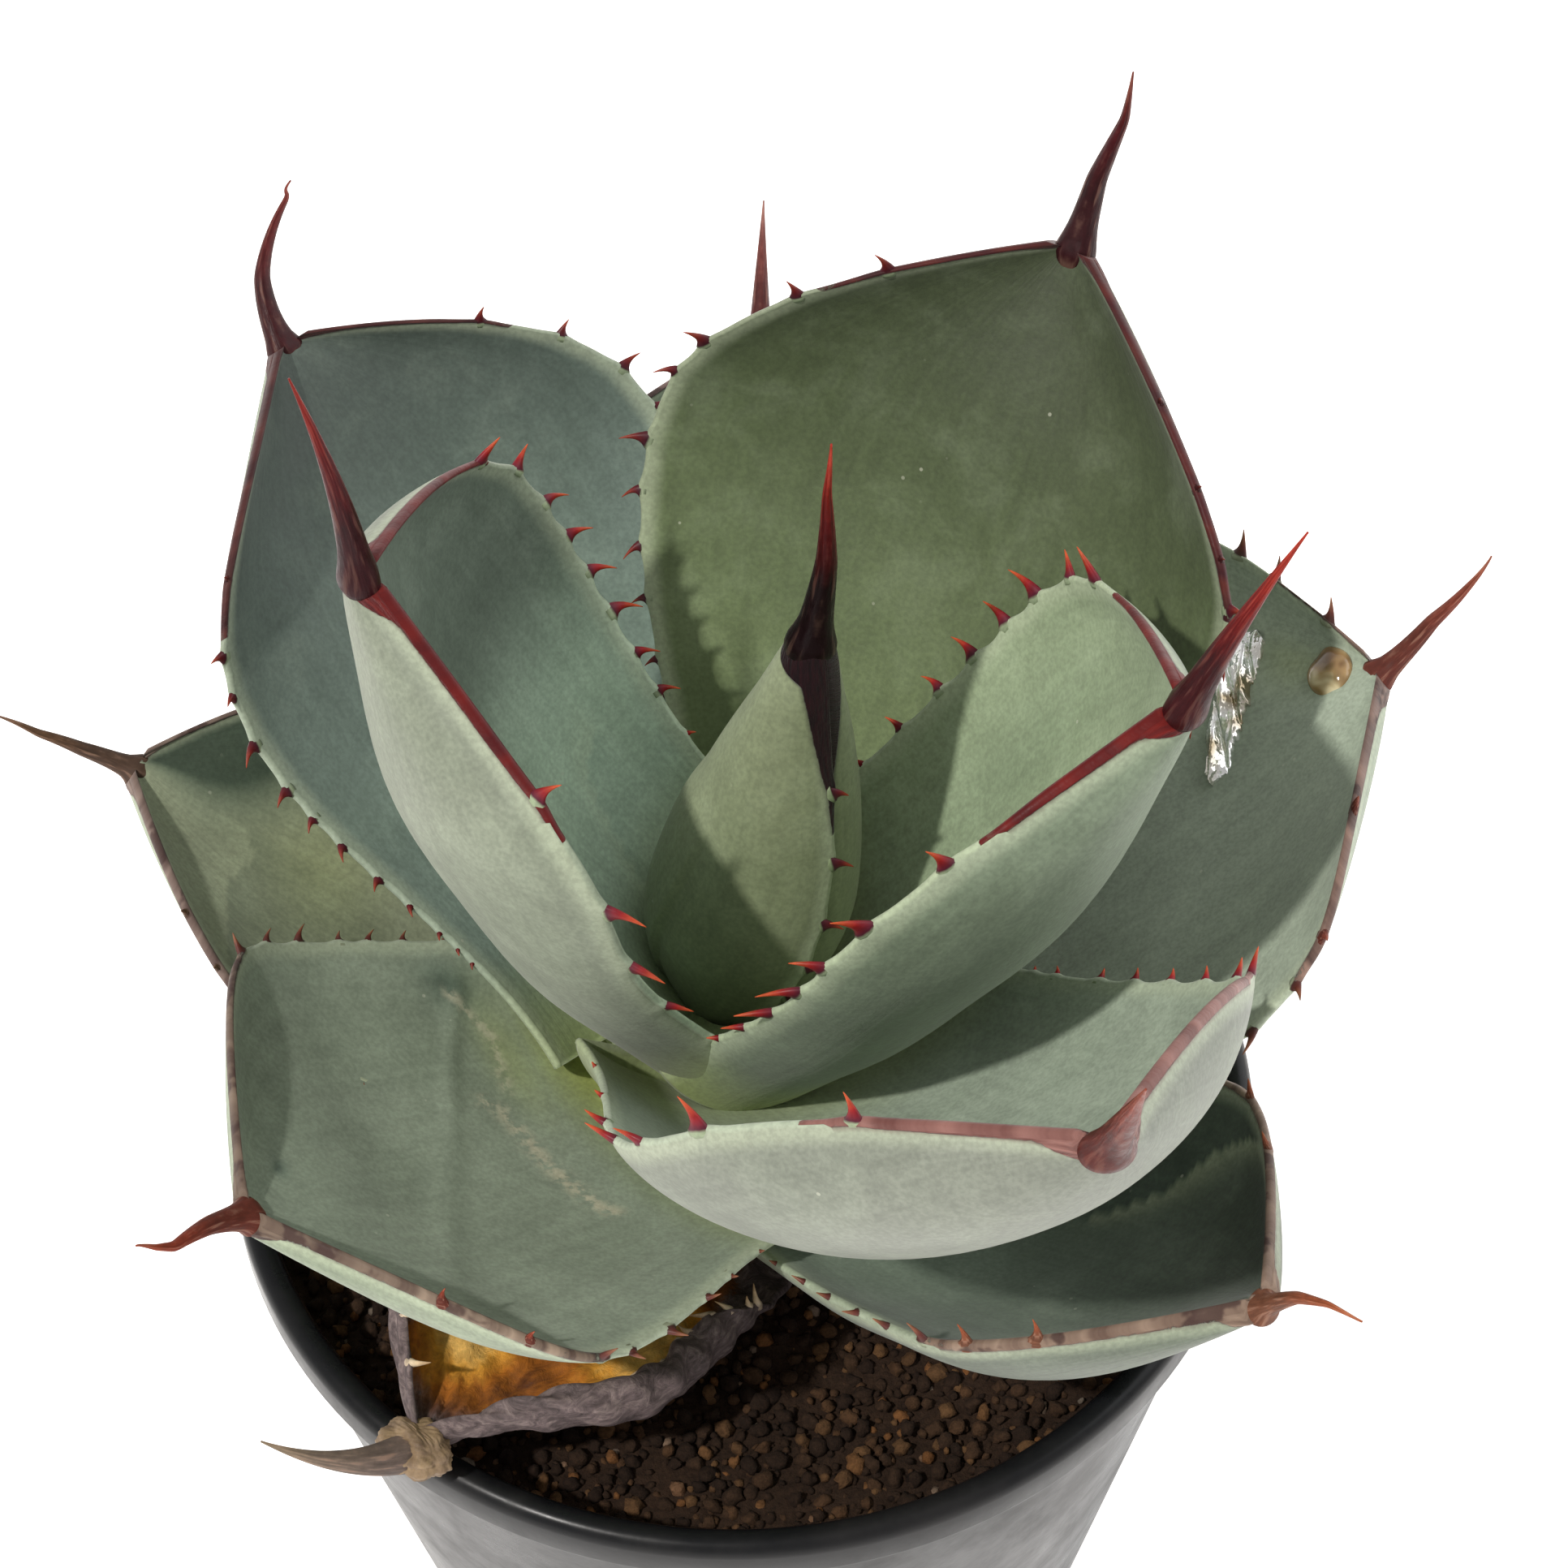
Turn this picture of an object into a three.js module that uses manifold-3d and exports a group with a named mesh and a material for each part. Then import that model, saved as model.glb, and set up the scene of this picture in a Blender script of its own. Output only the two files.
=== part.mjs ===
// Potted agave: a rosette of broad, cupped leaves on a short stem, in a round nursery pot.
// Millimetres, +Z up. The origin is the centre of the pot's underside, and -Y is the front.
import * as THREE from 'three';
import Module from 'manifold-3d';

const wasm = await Module();
wasm.setup();
const { Manifold, Mesh: SolidMesh } = wasm;

// ---- driving dimensions ----

const GAP = 0.3; // clearance between neighbouring pieces
const SLIVER = 0.02; // facets thinner than this are merged after a cut

// A tapered pot with a rolled lip. It rests on a foot ring and a middle pad, with holes between.
const POT = {
  height: 125, baseRadius: 52, wallSlope: 0.178, wall: 1.8, floor: 4, sides: 40,
  lipRadius: 75, lipInner: 70.6, lipBottom: 118, lipBevel: 0.6, lipSteps: 5, innerStep: 2,
  footWidth: 8, padRadius: 14, recess: 2,
  drainHoles: 8, drainRadius: 4.5, drainRing: 28, drainSides: 8,
};

const SOIL = { top: 112, grain: 1.1, rings: 12, seed: 7 };

const STEM = { bottom: 88, top: 151, footRadius: 13, topRadius: 7, sides: 20 };

// The rolled cone of the youngest leaves.
const BUD = {
  length: 67, leanX: 11.6, leanY: 6.8, footRadius: 7.5, radius: 14.3, endRadius: 2.4, widest: 0.3,
  taper: 1.5, rows: 11, sides: 15, spine: [33, 0, -8],
  overlap: 1.3, overlapFade: 0.33, seamStep: 0.3, seamFoot: -95, seamSwing: 42, seamTurn: 0.6,
  teeth: 7, firstTooth: 0.08, lastTooth: 0.74, toothLength: 3.2, toothRadius: 1.3,
  toothSunk: 1, toothLean: 50,
};

// One entry for each leaf, youngest first.
// place: azimuth, foot radius, foot height; rise: angle above level at foot and at tip;
// sway: sideways bend of the midrib; size: length, width, thickness;
// outline: foot width and place of the widest point, as shares of width and length;
// cup: half angle of the hollow at foot, middle and tip; roll: turn about the midrib, foot and tip;
// spine: length, upward bend and bend to the clockwise side. Angles are in degrees.
const LEAVES = [
  { name: 'leaf_inner_right', place: [-19, 8, 149], rise: [47, 75], sway: 2, size: [100, 81, 7.5],
    outline: [0.7, 0.61], cup: [68, 57, 56], roll: [4, 10], spine: [29, -10, -37], color: '#8c9c85' },
  { name: 'leaf_inner_left', place: [179, 7, 154], rise: [49, 91], sway: 4, size: [96, 86, 7.5],
    outline: [0.64, 0.67], cup: [64, 57, 52], roll: [-1, -10], spine: [30, -16, 26], color: '#93a08c' },
  { name: 'leaf_front', place: [-65, 12, 145], rise: [28, 73], sway: 9, size: [122, 92, 6],
    outline: [0.69, 0.59], cup: [54, 48, 67], roll: [7, 13], spine: [26, -6, 9], color: '#a3ac9b' },
  { name: 'leaf_back_right', place: [54, 18, 137], rise: [53, 54], sway: 2, size: [112, 97, 7],
    outline: [0.43, 0.61], cup: [32, 29, 55], roll: [2, -1], spine: [31, 40, 14], color: '#879780' },
  { name: 'leaf_back_left', place: [125, 16, 133], rise: [37, 42], sway: 9, size: [110, 85, 7],
    outline: [0.6, 0.67], cup: [39, 19, 51], roll: [-1, -11], spine: [27, 15, 66], color: '#84948a' },
  { name: 'leaf_front_left', place: [214, 15, 130], rise: [20, 42], sway: 2, size: [73, 86, 7.5],
    outline: [0.8, 0.62], cup: [36, 25, 37], roll: [-3, 2], spine: [24, -5, -23], color: '#8b9a86' },
  { name: 'leaf_right', place: [21, 15, 127], rise: [31, 33], sway: -3, size: [97, 95, 7.5],
    outline: [0.58, 0.74], cup: [27, 15, 45], roll: [5, 10], spine: [28, 46, 20], color: '#8b9b88' },
  { name: 'leaf_back', place: [87, 14, 125], rise: [24, 36], sway: 0, size: [104, 80, 7],
    outline: [0.6, 0.58], cup: [35, 38, 48], roll: [0, 0], spine: [24, -22, 0], color: '#86967f' },
  { name: 'leaf_front_right', place: [-42, 13, 122], rise: [11, 52], sway: -2, size: [91, 67, 7],
    outline: [0.69, 0.64], cup: [29, 47, 50], roll: [9, 2], spine: [20, -14, 2], color: '#8d9c87' },
  { name: 'leaf_left', place: [156, 12, 123], rise: [21, 30], sway: 4, size: [90, 70, 6.5],
    outline: [0.61, 0.55], cup: [35, 35, 42], roll: [0, -3], spine: [24, 22, -37], color: '#96a089' },
];

// The withered leaf lies on the soil with its tip over the lip.
const DEAD_LEAF = {
  name: 'dead_leaf', place: [233, 17, 117], rise: [9, 18], sway: 0, size: [58, 58, 0.9],
  outline: [0.75, 0.5], cup: [12, 26, 60], roll: [4, -4], spine: [24, 25, 62], color: '#8a6b42',
  wrinkle: 1.6,
};

// Rules that all blades share. Places along the midrib are shares of its length.
const BLADE = {
  columns: 6, root: 9, rootWidth: 0.55, // the foot runs on into the stem, narrower
  riseEase: 1.3, swayEase: 1.5, middle: 0.55, // how the bends set in, and where cup[1] holds
  footEase: 1.6, tipWidth: 0.06, tipEase: 2.1, // how the outline swells and closes
  thinning: 0.45, tipThinning: 0.5, tipThinningEase: 8, edge: 1.2, // thickness along and across
  edgeEase: 2.2, edgeFullness: 0.8,
  teeth: 7, firstTooth: 0.2, lastTooth: 0.86, toothShare: 0.34, toothLength: 3.8,
  toothNeck: 0.4, toothHook: 0.5, toothSpread: 0.25, scallop: 0.9, scallopEase: 4, seed: 11,
};

// The end spine: a round cone sunk into the blade a little below its inner face.
const SPINE = { sides: 5, rings: 4, radius: 2.5, point: 0.4, ease: 1.3, sunk: 4, below: 1.5 };

// ---- helpers ----

const degrees = (angle) => THREE.MathUtils.degToRad(angle);

const smoothStep = (x) => x * x * (3 - 2 * x);

const vec = (x, y, z) => new THREE.Vector3(x, y, z);

const X = vec(1, 0, 0);
const Y = vec(0, 1, 0);

// A point of a frame: origin plus lengths along the given directions.
function offset(origin, ...terms) {
  const point = origin.clone();
  for (const [direction, amount] of terms) point.addScaledVector(direction, amount);
  return point;
}

function seededRandom(seed) {
  let state = seed;
  return () => {
    state = (state * 1664525 + 1013904223) % 4294967296;
    return state / 4294967296;
  };
}

function solidFromTriangles(points, triangles) {
  const vertProperties = new Float32Array(points.flatMap((p) => [p.x, p.y, p.z]));
  return new Manifold(new SolidMesh({ numProp: 3, vertProperties, triVerts: new Uint32Array(triangles) }));
}

// A tube through rings of equal length, closed flat at its start, and flat or at a point at its end.
// The rings may turn either way round.
function loftSolid(rings, tip = null) {
  const n = rings[0].length;
  const points = rings.flat();
  const triangles = [];
  for (let i = 0; i + 1 < rings.length; i++) {
    for (let j = 0; j < n; j++) {
      const [a, b] = [i * n + j, i * n + ((j + 1) % n)];
      triangles.push(a, b, b + n, a, b + n, a + n);
    }
  }
  const last = (rings.length - 1) * n;
  for (let j = 1; j + 1 < n; j++) triangles.push(0, j + 1, j);
  if (tip) {
    points.push(tip);
    for (let j = 0; j < n; j++) triangles.push(last + j, last + ((j + 1) % n), points.length - 1);
  } else {
    for (let j = 1; j + 1 < n; j++) triangles.push(last, last + j, last + j + 1);
  }
  const solid = solidFromTriangles(points, triangles);
  return solid.volume() > 0 ? solid : solidFromTriangles(points, triangles.reverse());
}

function ring(centre, sideA, sideB, radius, count) {
  return Array.from({ length: count }, (_, j) => {
    const angle = (2 * Math.PI * j) / count;
    return offset(centre, [sideA, radius * Math.cos(angle)], [sideB, radius * Math.sin(angle)]);
  });
}

function geometryOf(solid) {
  const { vertProperties, triVerts } = solid.getMesh();
  const geometry = new THREE.BufferGeometry();
  geometry.setAttribute('position', new THREE.BufferAttribute(new Float32Array(vertProperties), 3));
  geometry.setIndex(new THREE.BufferAttribute(new Uint32Array(triVerts), 1));
  geometry.computeVertexNormals();
  return geometry;
}

function node(name, solid, color, roughness) {
  const material = new THREE.MeshStandardMaterial({ color, roughness, metalness: 0 });
  const mesh = new THREE.Mesh(geometryOf(solid), material);
  mesh.name = name;
  return mesh;
}

// The main body that a cut leaves. Loose scraps are dropped, and sealed hollows are filled.
function largestBody(solid) {
  const bodies = solid.simplify(SLIVER).decompose();
  return bodies.reduce((best, body) => (body.volume() > best.volume() ? body : best));
}

// ---- pot, soil and stem ----

// Solid of revolution about the pot's axis from [radius, height] corners, bottom first, outside in.
function turned(profile, sides) {
  const points = [];
  const triangles = [];
  const n = profile.length;
  for (let i = 0; i < sides; i++) {
    const angle = (2 * Math.PI * i) / sides;
    for (const [r, z] of profile) points.push(vec(r * Math.cos(angle), r * Math.sin(angle), z));
    for (let k = 0; k < n; k++) {
      const [a, b] = [i * n + k, i * n + ((k + 1) % n)];
      const [c, d] = [((i + 1) % sides) * n + k, ((i + 1) % sides) * n + ((k + 1) % n)];
      triangles.push(a, c, d, a, d, b);
    }
  }
  return solidFromTriangles(points, triangles);
}

const wallRadius = (z) => POT.baseRadius + POT.wallSlope * z;

const innerRadius = (z) => wallRadius(z) - POT.wall;

function potSolid() {
  const { height, lipRadius, lipInner, lipBottom, lipBevel, lipSteps, innerStep, floor, recess } = POT;
  const footInner = POT.baseRadius - POT.footWidth;
  const beadRadius = (lipRadius - lipInner) / 2;
  const bead = Array.from({ length: lipSteps + 1 }, (_, k) => {
    const angle = (Math.PI * k) / lipSteps;
    return [lipInner + beadRadius * (1 + Math.cos(angle)), height - beadRadius * (1 - Math.sin(angle))];
  });
  const innerTop = lipBottom - innerStep;
  const shell = turned([
    [POT.padRadius, recess], [footInner, recess], [footInner, 0], [POT.baseRadius, 0],
    [wallRadius(lipBottom), lipBottom], [lipRadius - lipBevel, lipBottom], [lipRadius, lipBottom + lipBevel],
    ...bead, [innerRadius(innerTop), innerTop], [innerRadius(floor), floor], [POT.padRadius, floor],
  ], POT.sides);
  const disc = (z) => ring(vec(0, 0, z), X, Y, POT.padRadius, POT.sides);
  let pot = shell.add(loftSolid([disc(0), disc(floor)]));
  for (let i = 0; i < POT.drainHoles; i++) {
    const angle = (2 * Math.PI * (i + 0.5)) / POT.drainHoles;
    const below = vec(POT.drainRing * Math.cos(angle), POT.drainRing * Math.sin(angle), -1);
    const above = below.clone().setZ(floor + 1);
    const ends = [below, above].map((end) => ring(end, X, Y, POT.drainRadius, POT.drainSides));
    pot = pot.subtract(loftSolid(ends));
  }
  return pot;
}

const stemRadius = (z) => {
  const share = THREE.MathUtils.clamp((z - SOIL.top) / (STEM.top - SOIL.top), 0, 1);
  return STEM.footRadius + (STEM.topRadius - STEM.footRadius) * share;
};

function stemSolid(grow) {
  const heights = [STEM.bottom - grow, SOIL.top, STEM.top + grow];
  return loftSolid(heights.map((z) => ring(vec(0, 0, z), X, Y, stemRadius(z) + grow, STEM.sides)));
}

// The bed fills the pot. Its top is a relief of granules, and the stem stands in a plain hole.
function soilSolid() {
  const random = seededRandom(SOIL.seed);
  const bottom = POT.floor + GAP;
  const holeRadius = (STEM.footRadius + GAP) / Math.cos(Math.PI / POT.sides);
  const wallTop = innerRadius(SOIL.top) - GAP;
  const rings = [];
  const addRing = (radius, z, relief) => rings.push(Array.from({ length: POT.sides }, (_, i) => {
    const angle = (2 * Math.PI * i) / POT.sides;
    const height = z + relief * (2 * random() - 1);
    return vec(radius * Math.cos(angle), radius * Math.sin(angle), height);
  }));
  addRing(holeRadius, STEM.bottom - 2 * GAP, 0);
  addRing(holeRadius, SOIL.top, 0);
  for (let k = 1; k < SOIL.rings; k++) {
    addRing(holeRadius + ((wallTop - holeRadius) * k) / SOIL.rings, SOIL.top, SOIL.grain);
  }
  addRing(wallTop, SOIL.top, 0);
  addRing(innerRadius(bottom) - GAP, bottom, 0);
  return loftSolid(rings.reverse());
}

// ---- leaves ----

// Frame of the midrib at a share u of its length. Below 0 it runs straight back into the stem.
function midribOf({ place, rise, sway, size, roll }) {
  const steps = 60;
  const [azimuth, footRadius, footHeight] = place;
  const start = degrees(azimuth);
  const angles = (u) => [
    degrees(rise[0] + (rise[1] - rise[0]) * u ** BLADE.riseEase),
    start + degrees(sway * u ** BLADE.swayEase),
  ];
  const direction = ([up, round]) =>
    vec(Math.cos(up) * Math.cos(round), Math.cos(up) * Math.sin(round), Math.sin(up));
  const stations = [vec(footRadius * Math.cos(start), footRadius * Math.sin(start), footHeight)];
  for (let i = 0; i < steps; i++) {
    stations.push(offset(stations[i], [direction(angles((i + 0.5) / steps)), size[0] / steps]));
  }
  return (u) => {
    const at = Math.max(u, 0);
    const [up, round] = angles(at);
    const along = direction([up, round]);
    const flatNormal = vec(-Math.sin(up) * Math.cos(round), -Math.sin(up) * Math.sin(round), Math.cos(up));
    const flatAcross = along.clone().cross(flatNormal);
    const turn = degrees(roll[0] + (roll[1] - roll[0]) * at);
    const across = offset(vec(0, 0, 0), [flatAcross, Math.cos(turn)], [flatNormal, Math.sin(turn)]);
    const normal = offset(vec(0, 0, 0), [flatAcross, -Math.sin(turn)], [flatNormal, Math.cos(turn)]);
    const index = Math.min(Math.floor(at * steps), steps - 1);
    const origin = stations[index].clone().lerp(stations[index + 1], at * steps - index);
    if (u < 0) origin.addScaledVector(along, u * size[0]);
    return { origin, along, normal, across };
  };
}

function halfWidth({ size, outline }, u) {
  const [foot, widest] = outline;
  const half = size[1] / 2;
  if (u < 0) return half * foot * BLADE.rootWidth;
  const swell = Math.sin((Math.PI / 2) * Math.min(1, u / widest)) ** BLADE.footEase;
  if (u < widest) return half * (foot + (1 - foot) * swell);
  return half * (1 - (1 - BLADE.tipWidth) * ((u - widest) / (1 - widest)) ** BLADE.tipEase);
}

function halfAngle({ cup }, u) {
  const { middle } = BLADE;
  if (u < middle) return degrees(cup[0] + (cup[1] - cup[0]) * smoothStep(Math.max(u, 0) / middle));
  return degrees(cup[1] + (cup[2] - cup[1]) * smoothStep((u - middle) / (1 - middle)));
}

// Shares of the length at which the blade has a row of points, each with its kind. A tooth stands
// between a 'tooth' row and the row after it, and the edge is drawn in at each 'bay' row.
function bladeRows(leaf) {
  const { firstTooth, lastTooth, teeth, toothShare } = BLADE;
  const pitch = (lastTooth - firstTooth) / teeth;
  const rows = [[-BLADE.root / leaf.size[0], 'plain'], [0, 'plain'], [firstTooth / 2, 'plain']];
  for (let k = 0; k < teeth; k++) {
    const u = firstTooth + k * pitch;
    rows.push([u, 'tooth'], [u + toothShare * pitch, 'plain'], [u + (0.5 + toothShare / 2) * pitch, 'bay']);
  }
  return [...rows, [(lastTooth + 1) / 2, 'plain'], [1, 'plain']];
}

// Inner face, outer face and outward edge direction at a row and side s, which runs from -1 to 1.
function bladePoint(leaf, midrib, [u, kind], s, grow) {
  const { origin, along, normal, across } = midrib(u);
  const bay = kind === 'bay' ? BLADE.scallop : 0;
  const half = halfWidth(leaf, u) - bay * Math.abs(s) ** BLADE.scallopEase + grow;
  const spread = halfAngle(leaf, u);
  const angle = spread * s;
  const radius = half / spread;
  const wrinkle = (leaf.wrinkle ?? 0) * u * Math.sin(11 * u + 4 * s) * Math.cos(5 * s - 3 * u);
  const faceNormal = offset(vec(0, 0, 0), [across, -Math.sin(angle)], [normal, Math.cos(angle)]);
  const outward = offset(vec(0, 0, 0), [across, Math.cos(angle)], [normal, Math.sin(angle)]);
  const inner = offset(origin, [across, radius * Math.sin(angle)], [normal, radius * (1 - Math.cos(angle))],
    [faceNormal, wrinkle + grow]);
  const at = Math.max(u, 0);
  const taper = (1 - BLADE.thinning * at) * (1 - BLADE.tipThinning * at ** BLADE.tipThinningEase);
  const fullness = (1 - Math.abs(s) ** BLADE.edgeEase) ** BLADE.edgeFullness;
  const depth = leaf.size[2] * taper * fullness + BLADE.edge + 2 * grow;
  const outer = offset(inner, [faceNormal, -depth]);
  return { inner, outer, outward: outward.multiplyScalar(Math.sign(s) || 1), along };
}

// A hooked tooth raised from four corners of the edge, bent back towards the leaf's foot.
// It returns new points, and triangles numbered from the given start.
function hookedTooth(corners, numbers, outward, along, length, start) {
  const centre = offset(vec(0, 0, 0), ...corners.map((corner) => [corner, 0.25]));
  const { toothNeck, toothHook } = BLADE;
  const neck = offset(centre, [outward, toothNeck * length], [along, -toothHook * toothNeck ** 2 * length]);
  const tip = offset(centre, [outward, length], [along, -toothHook * length]);
  const points = [...corners.map((corner) => offset(neck, [corner, toothNeck], [centre, -toothNeck])), tip];
  const triangles = [];
  for (let k = 0; k < 4; k++) {
    const next = (k + 1) % 4;
    triangles.push(numbers[k], numbers[next], start + next, numbers[k], start + next, start + k);
    triangles.push(start + k, start + next, start + 4);
  }
  return { points, triangles };
}

function bladeSolid(leaf, midrib, grow) {
  const random = seededRandom(BLADE.seed + leaf.size[0]);
  const rows = bladeRows(leaf);
  const { columns } = BLADE;
  const width = columns + 1;
  const grid = rows.map((row) => Array.from({ length: width },
    (_, j) => bladePoint(leaf, midrib, row, (2 * j) / columns - 1, grow)));
  const back = rows.length * width;
  const points = [...grid.flat().map((p) => p.inner), ...grid.flat().map((p) => p.outer)];
  const triangles = [];
  for (let i = 0; i + 1 < rows.length; i++) {
    for (let j = 0; j < columns; j++) {
      const a = i * width + j;
      const [b, c, d] = [a + 1, a + width, a + width + 1];
      triangles.push(a, b, c, b, d, c, back + a, back + c, back + b, back + b, back + c, back + d);
    }
    for (const j of [0, columns]) {
      const a = i * width + j;
      const numbers = [back + a, a, a + width, back + a + width];
      if (j > 0) numbers.reverse();
      if (rows[i][1] === 'tooth') {
        const { outward, along } = grid[i][j];
        const length = BLADE.toothLength * (1 + BLADE.toothSpread * (2 * random() - 1)) + grow;
        const corners = numbers.map((n) => points[n]);
        const tooth = hookedTooth(corners, numbers, outward, along, length, points.length);
        points.push(...tooth.points);
        triangles.push(...tooth.triangles);
      } else {
        const [p, q, r, t] = numbers;
        triangles.push(p, q, t, t, q, r);
      }
    }
  }
  for (let j = 0; j < columns; j++) {
    const end = (rows.length - 1) * width + j;
    triangles.push(back + j, back + j + 1, j, back + j + 1, j + 1, j);
    triangles.push(back + end, end, back + end + 1, back + end + 1, end, end + 1);
  }
  return solidFromTriangles(points, triangles);
}

// A curved spine that leaves the tip of the midrib.
function spineSolid({ origin, along, normal, across }, [length, pitch, yaw], grow) {
  let centre = offset(origin, [normal, -SPINE.below]);
  const start = offset(centre, [along, -SPINE.sunk]);
  const rings = [ring(start, normal, across, SPINE.radius + grow, SPINE.sides)];
  for (let k = 0; k <= SPINE.rings; k++) {
    const share = k / SPINE.rings;
    const heading = offset(along, [normal, Math.tan(degrees(pitch * share))],
      [across, Math.tan(degrees(yaw * share))]).normalize();
    if (k > 0) centre = offset(centre, [heading, length / SPINE.rings]);
    const radius = SPINE.point + (SPINE.radius - SPINE.point) * (1 - share) ** SPINE.ease;
    const sideA = across.clone().cross(heading).normalize();
    const sideB = heading.clone().cross(sideA);
    rings.push(ring(centre, sideA, sideB, radius + grow, SPINE.sides));
  }
  return loftSolid(rings);
}

function leafSolid(leaf, grow) {
  const midrib = midribOf(leaf);
  return bladeSolid(leaf, midrib, grow).add(spineSolid(midrib(1), leaf.spine, grow));
}

// ---- bud cone ----

function budRadius(u) {
  const { footRadius, radius, endRadius, widest, taper } = BUD;
  if (u < widest) return footRadius + (radius - footRadius) * Math.sin((Math.PI / 2) * (u / widest));
  return endRadius + (radius - endRadius) * (1 - ((u - widest) / (1 - widest)) ** taper);
}

// The seam climbs from the front of the foot to the right-hand side.
const seamAngle = (u) =>
  degrees(BUD.seamFoot + BUD.seamSwing * Math.sin((Math.PI / 2) * Math.min(1, u / BUD.seamTurn)));

const budCentre = (u) => vec(BUD.leanX * u, BUD.leanY * u, STEM.top + 2 * GAP + BUD.length * u);

// The outermost rolled leaf ends in a step at the seam, where it laps over its own start.
function budRing(u, grow) {
  const lap = BUD.overlap * Math.min(1, (1 - u) / BUD.overlapFade);
  return Array.from({ length: BUD.sides }, (_, j) => {
    const share = j / (BUD.sides - 1 + BUD.seamStep);
    const radius = budRadius(u) + lap * (share - 0.5) + grow;
    const angle = seamAngle(u) + 2 * Math.PI * share;
    return offset(budCentre(u), [X, radius * Math.cos(angle)], [Y, radius * Math.sin(angle)]);
  });
}

function budSolid(grow) {
  const rings = Array.from({ length: BUD.rows + 1 }, (_, i) => budRing(i / BUD.rows, grow));
  const axis = vec(BUD.leanX, BUD.leanY, BUD.length).normalize();
  const across = Y.clone().cross(axis).normalize();
  const normal = axis.clone().cross(across).negate();
  const tipFrame = { origin: offset(budCentre(1), [normal, SPINE.below]), along: axis, normal, across };
  const parts = [loftSolid(rings), spineSolid(tipFrame, BUD.spine, grow)];
  for (let k = 0; k < BUD.teeth; k++) {
    const u = BUD.firstTooth + ((BUD.lastTooth - BUD.firstTooth) * k) / (BUD.teeth - 1);
    const angle = seamAngle(u);
    const lean = angle + degrees(BUD.toothLean);
    const outward = vec(Math.cos(lean), Math.sin(lean), 0);
    const radius = budRadius(u);
    const root = offset(budCentre(u), [X, radius * Math.cos(angle)], [Y, radius * Math.sin(angle)]);
    const side = outward.clone().cross(axis).normalize();
    const foot = ring(offset(root, [outward, -BUD.toothSunk]), axis, side, BUD.toothRadius + grow, 3);
    const tip = offset(root, [outward, BUD.toothLength + grow], [axis, -BLADE.toothHook * BUD.toothLength]);
    parts.push(loftSolid([foot], tip));
  }
  return Manifold.union(parts);
}

// ---- assembly ----

const group = new THREE.Group();
const pot = potSolid();
const soil = soilSolid();
const bud = budSolid(0);
group.add(node('pot', pot, '#1b1c1e', 0.35));
group.add(node('soil', soil, '#5b4537', 0.95));
group.add(node('stem', stemSolid(0), '#9aa37c', 0.8));
group.add(node('bud_cone', bud, '#869680', 0.6));

// Each leaf is cut clear of the younger ones that it wraps.
let taken = Manifold.union([stemSolid(GAP), budSolid(GAP), bud]);
for (const leaf of LEAVES) {
  const solid = largestBody(leafSolid(leaf, 0).subtract(taken));
  group.add(node(leaf.name, solid, leaf.color, 0.6));
  taken = Manifold.union([taken, leafSolid(leaf, GAP), solid]);
}
const dead = largestBody(leafSolid(DEAD_LEAF, 0).subtract(taken));
group.add(node(DEAD_LEAF.name, dead, DEAD_LEAF.color, 0.9));

export default group;
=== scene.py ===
import math
from types import SimpleNamespace as Values

import bmesh
import bpy
import numpy as np
from numpy import array, clip, concatenate, cos, cross, interp, linspace, pi, radians, sin, stack
from mathutils import Matrix, Vector


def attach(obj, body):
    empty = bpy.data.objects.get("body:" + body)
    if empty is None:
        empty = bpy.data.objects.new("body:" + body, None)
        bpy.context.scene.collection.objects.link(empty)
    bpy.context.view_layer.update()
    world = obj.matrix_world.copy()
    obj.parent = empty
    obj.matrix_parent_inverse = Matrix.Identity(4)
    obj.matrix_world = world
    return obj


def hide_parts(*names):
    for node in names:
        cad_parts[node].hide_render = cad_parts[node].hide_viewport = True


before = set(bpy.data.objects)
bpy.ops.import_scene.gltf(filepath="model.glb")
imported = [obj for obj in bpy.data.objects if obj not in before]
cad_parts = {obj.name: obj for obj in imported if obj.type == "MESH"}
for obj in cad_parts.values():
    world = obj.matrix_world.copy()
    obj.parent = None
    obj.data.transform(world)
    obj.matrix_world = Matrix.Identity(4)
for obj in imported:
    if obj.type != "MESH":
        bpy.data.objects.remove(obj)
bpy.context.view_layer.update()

MM = 0.001
SKIN, HORN, TOOTH, EXTRA = range(4)  # material slots of every leaf

# ---- leaves: driving dimensions, as in the part's source, and looks ----

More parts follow.
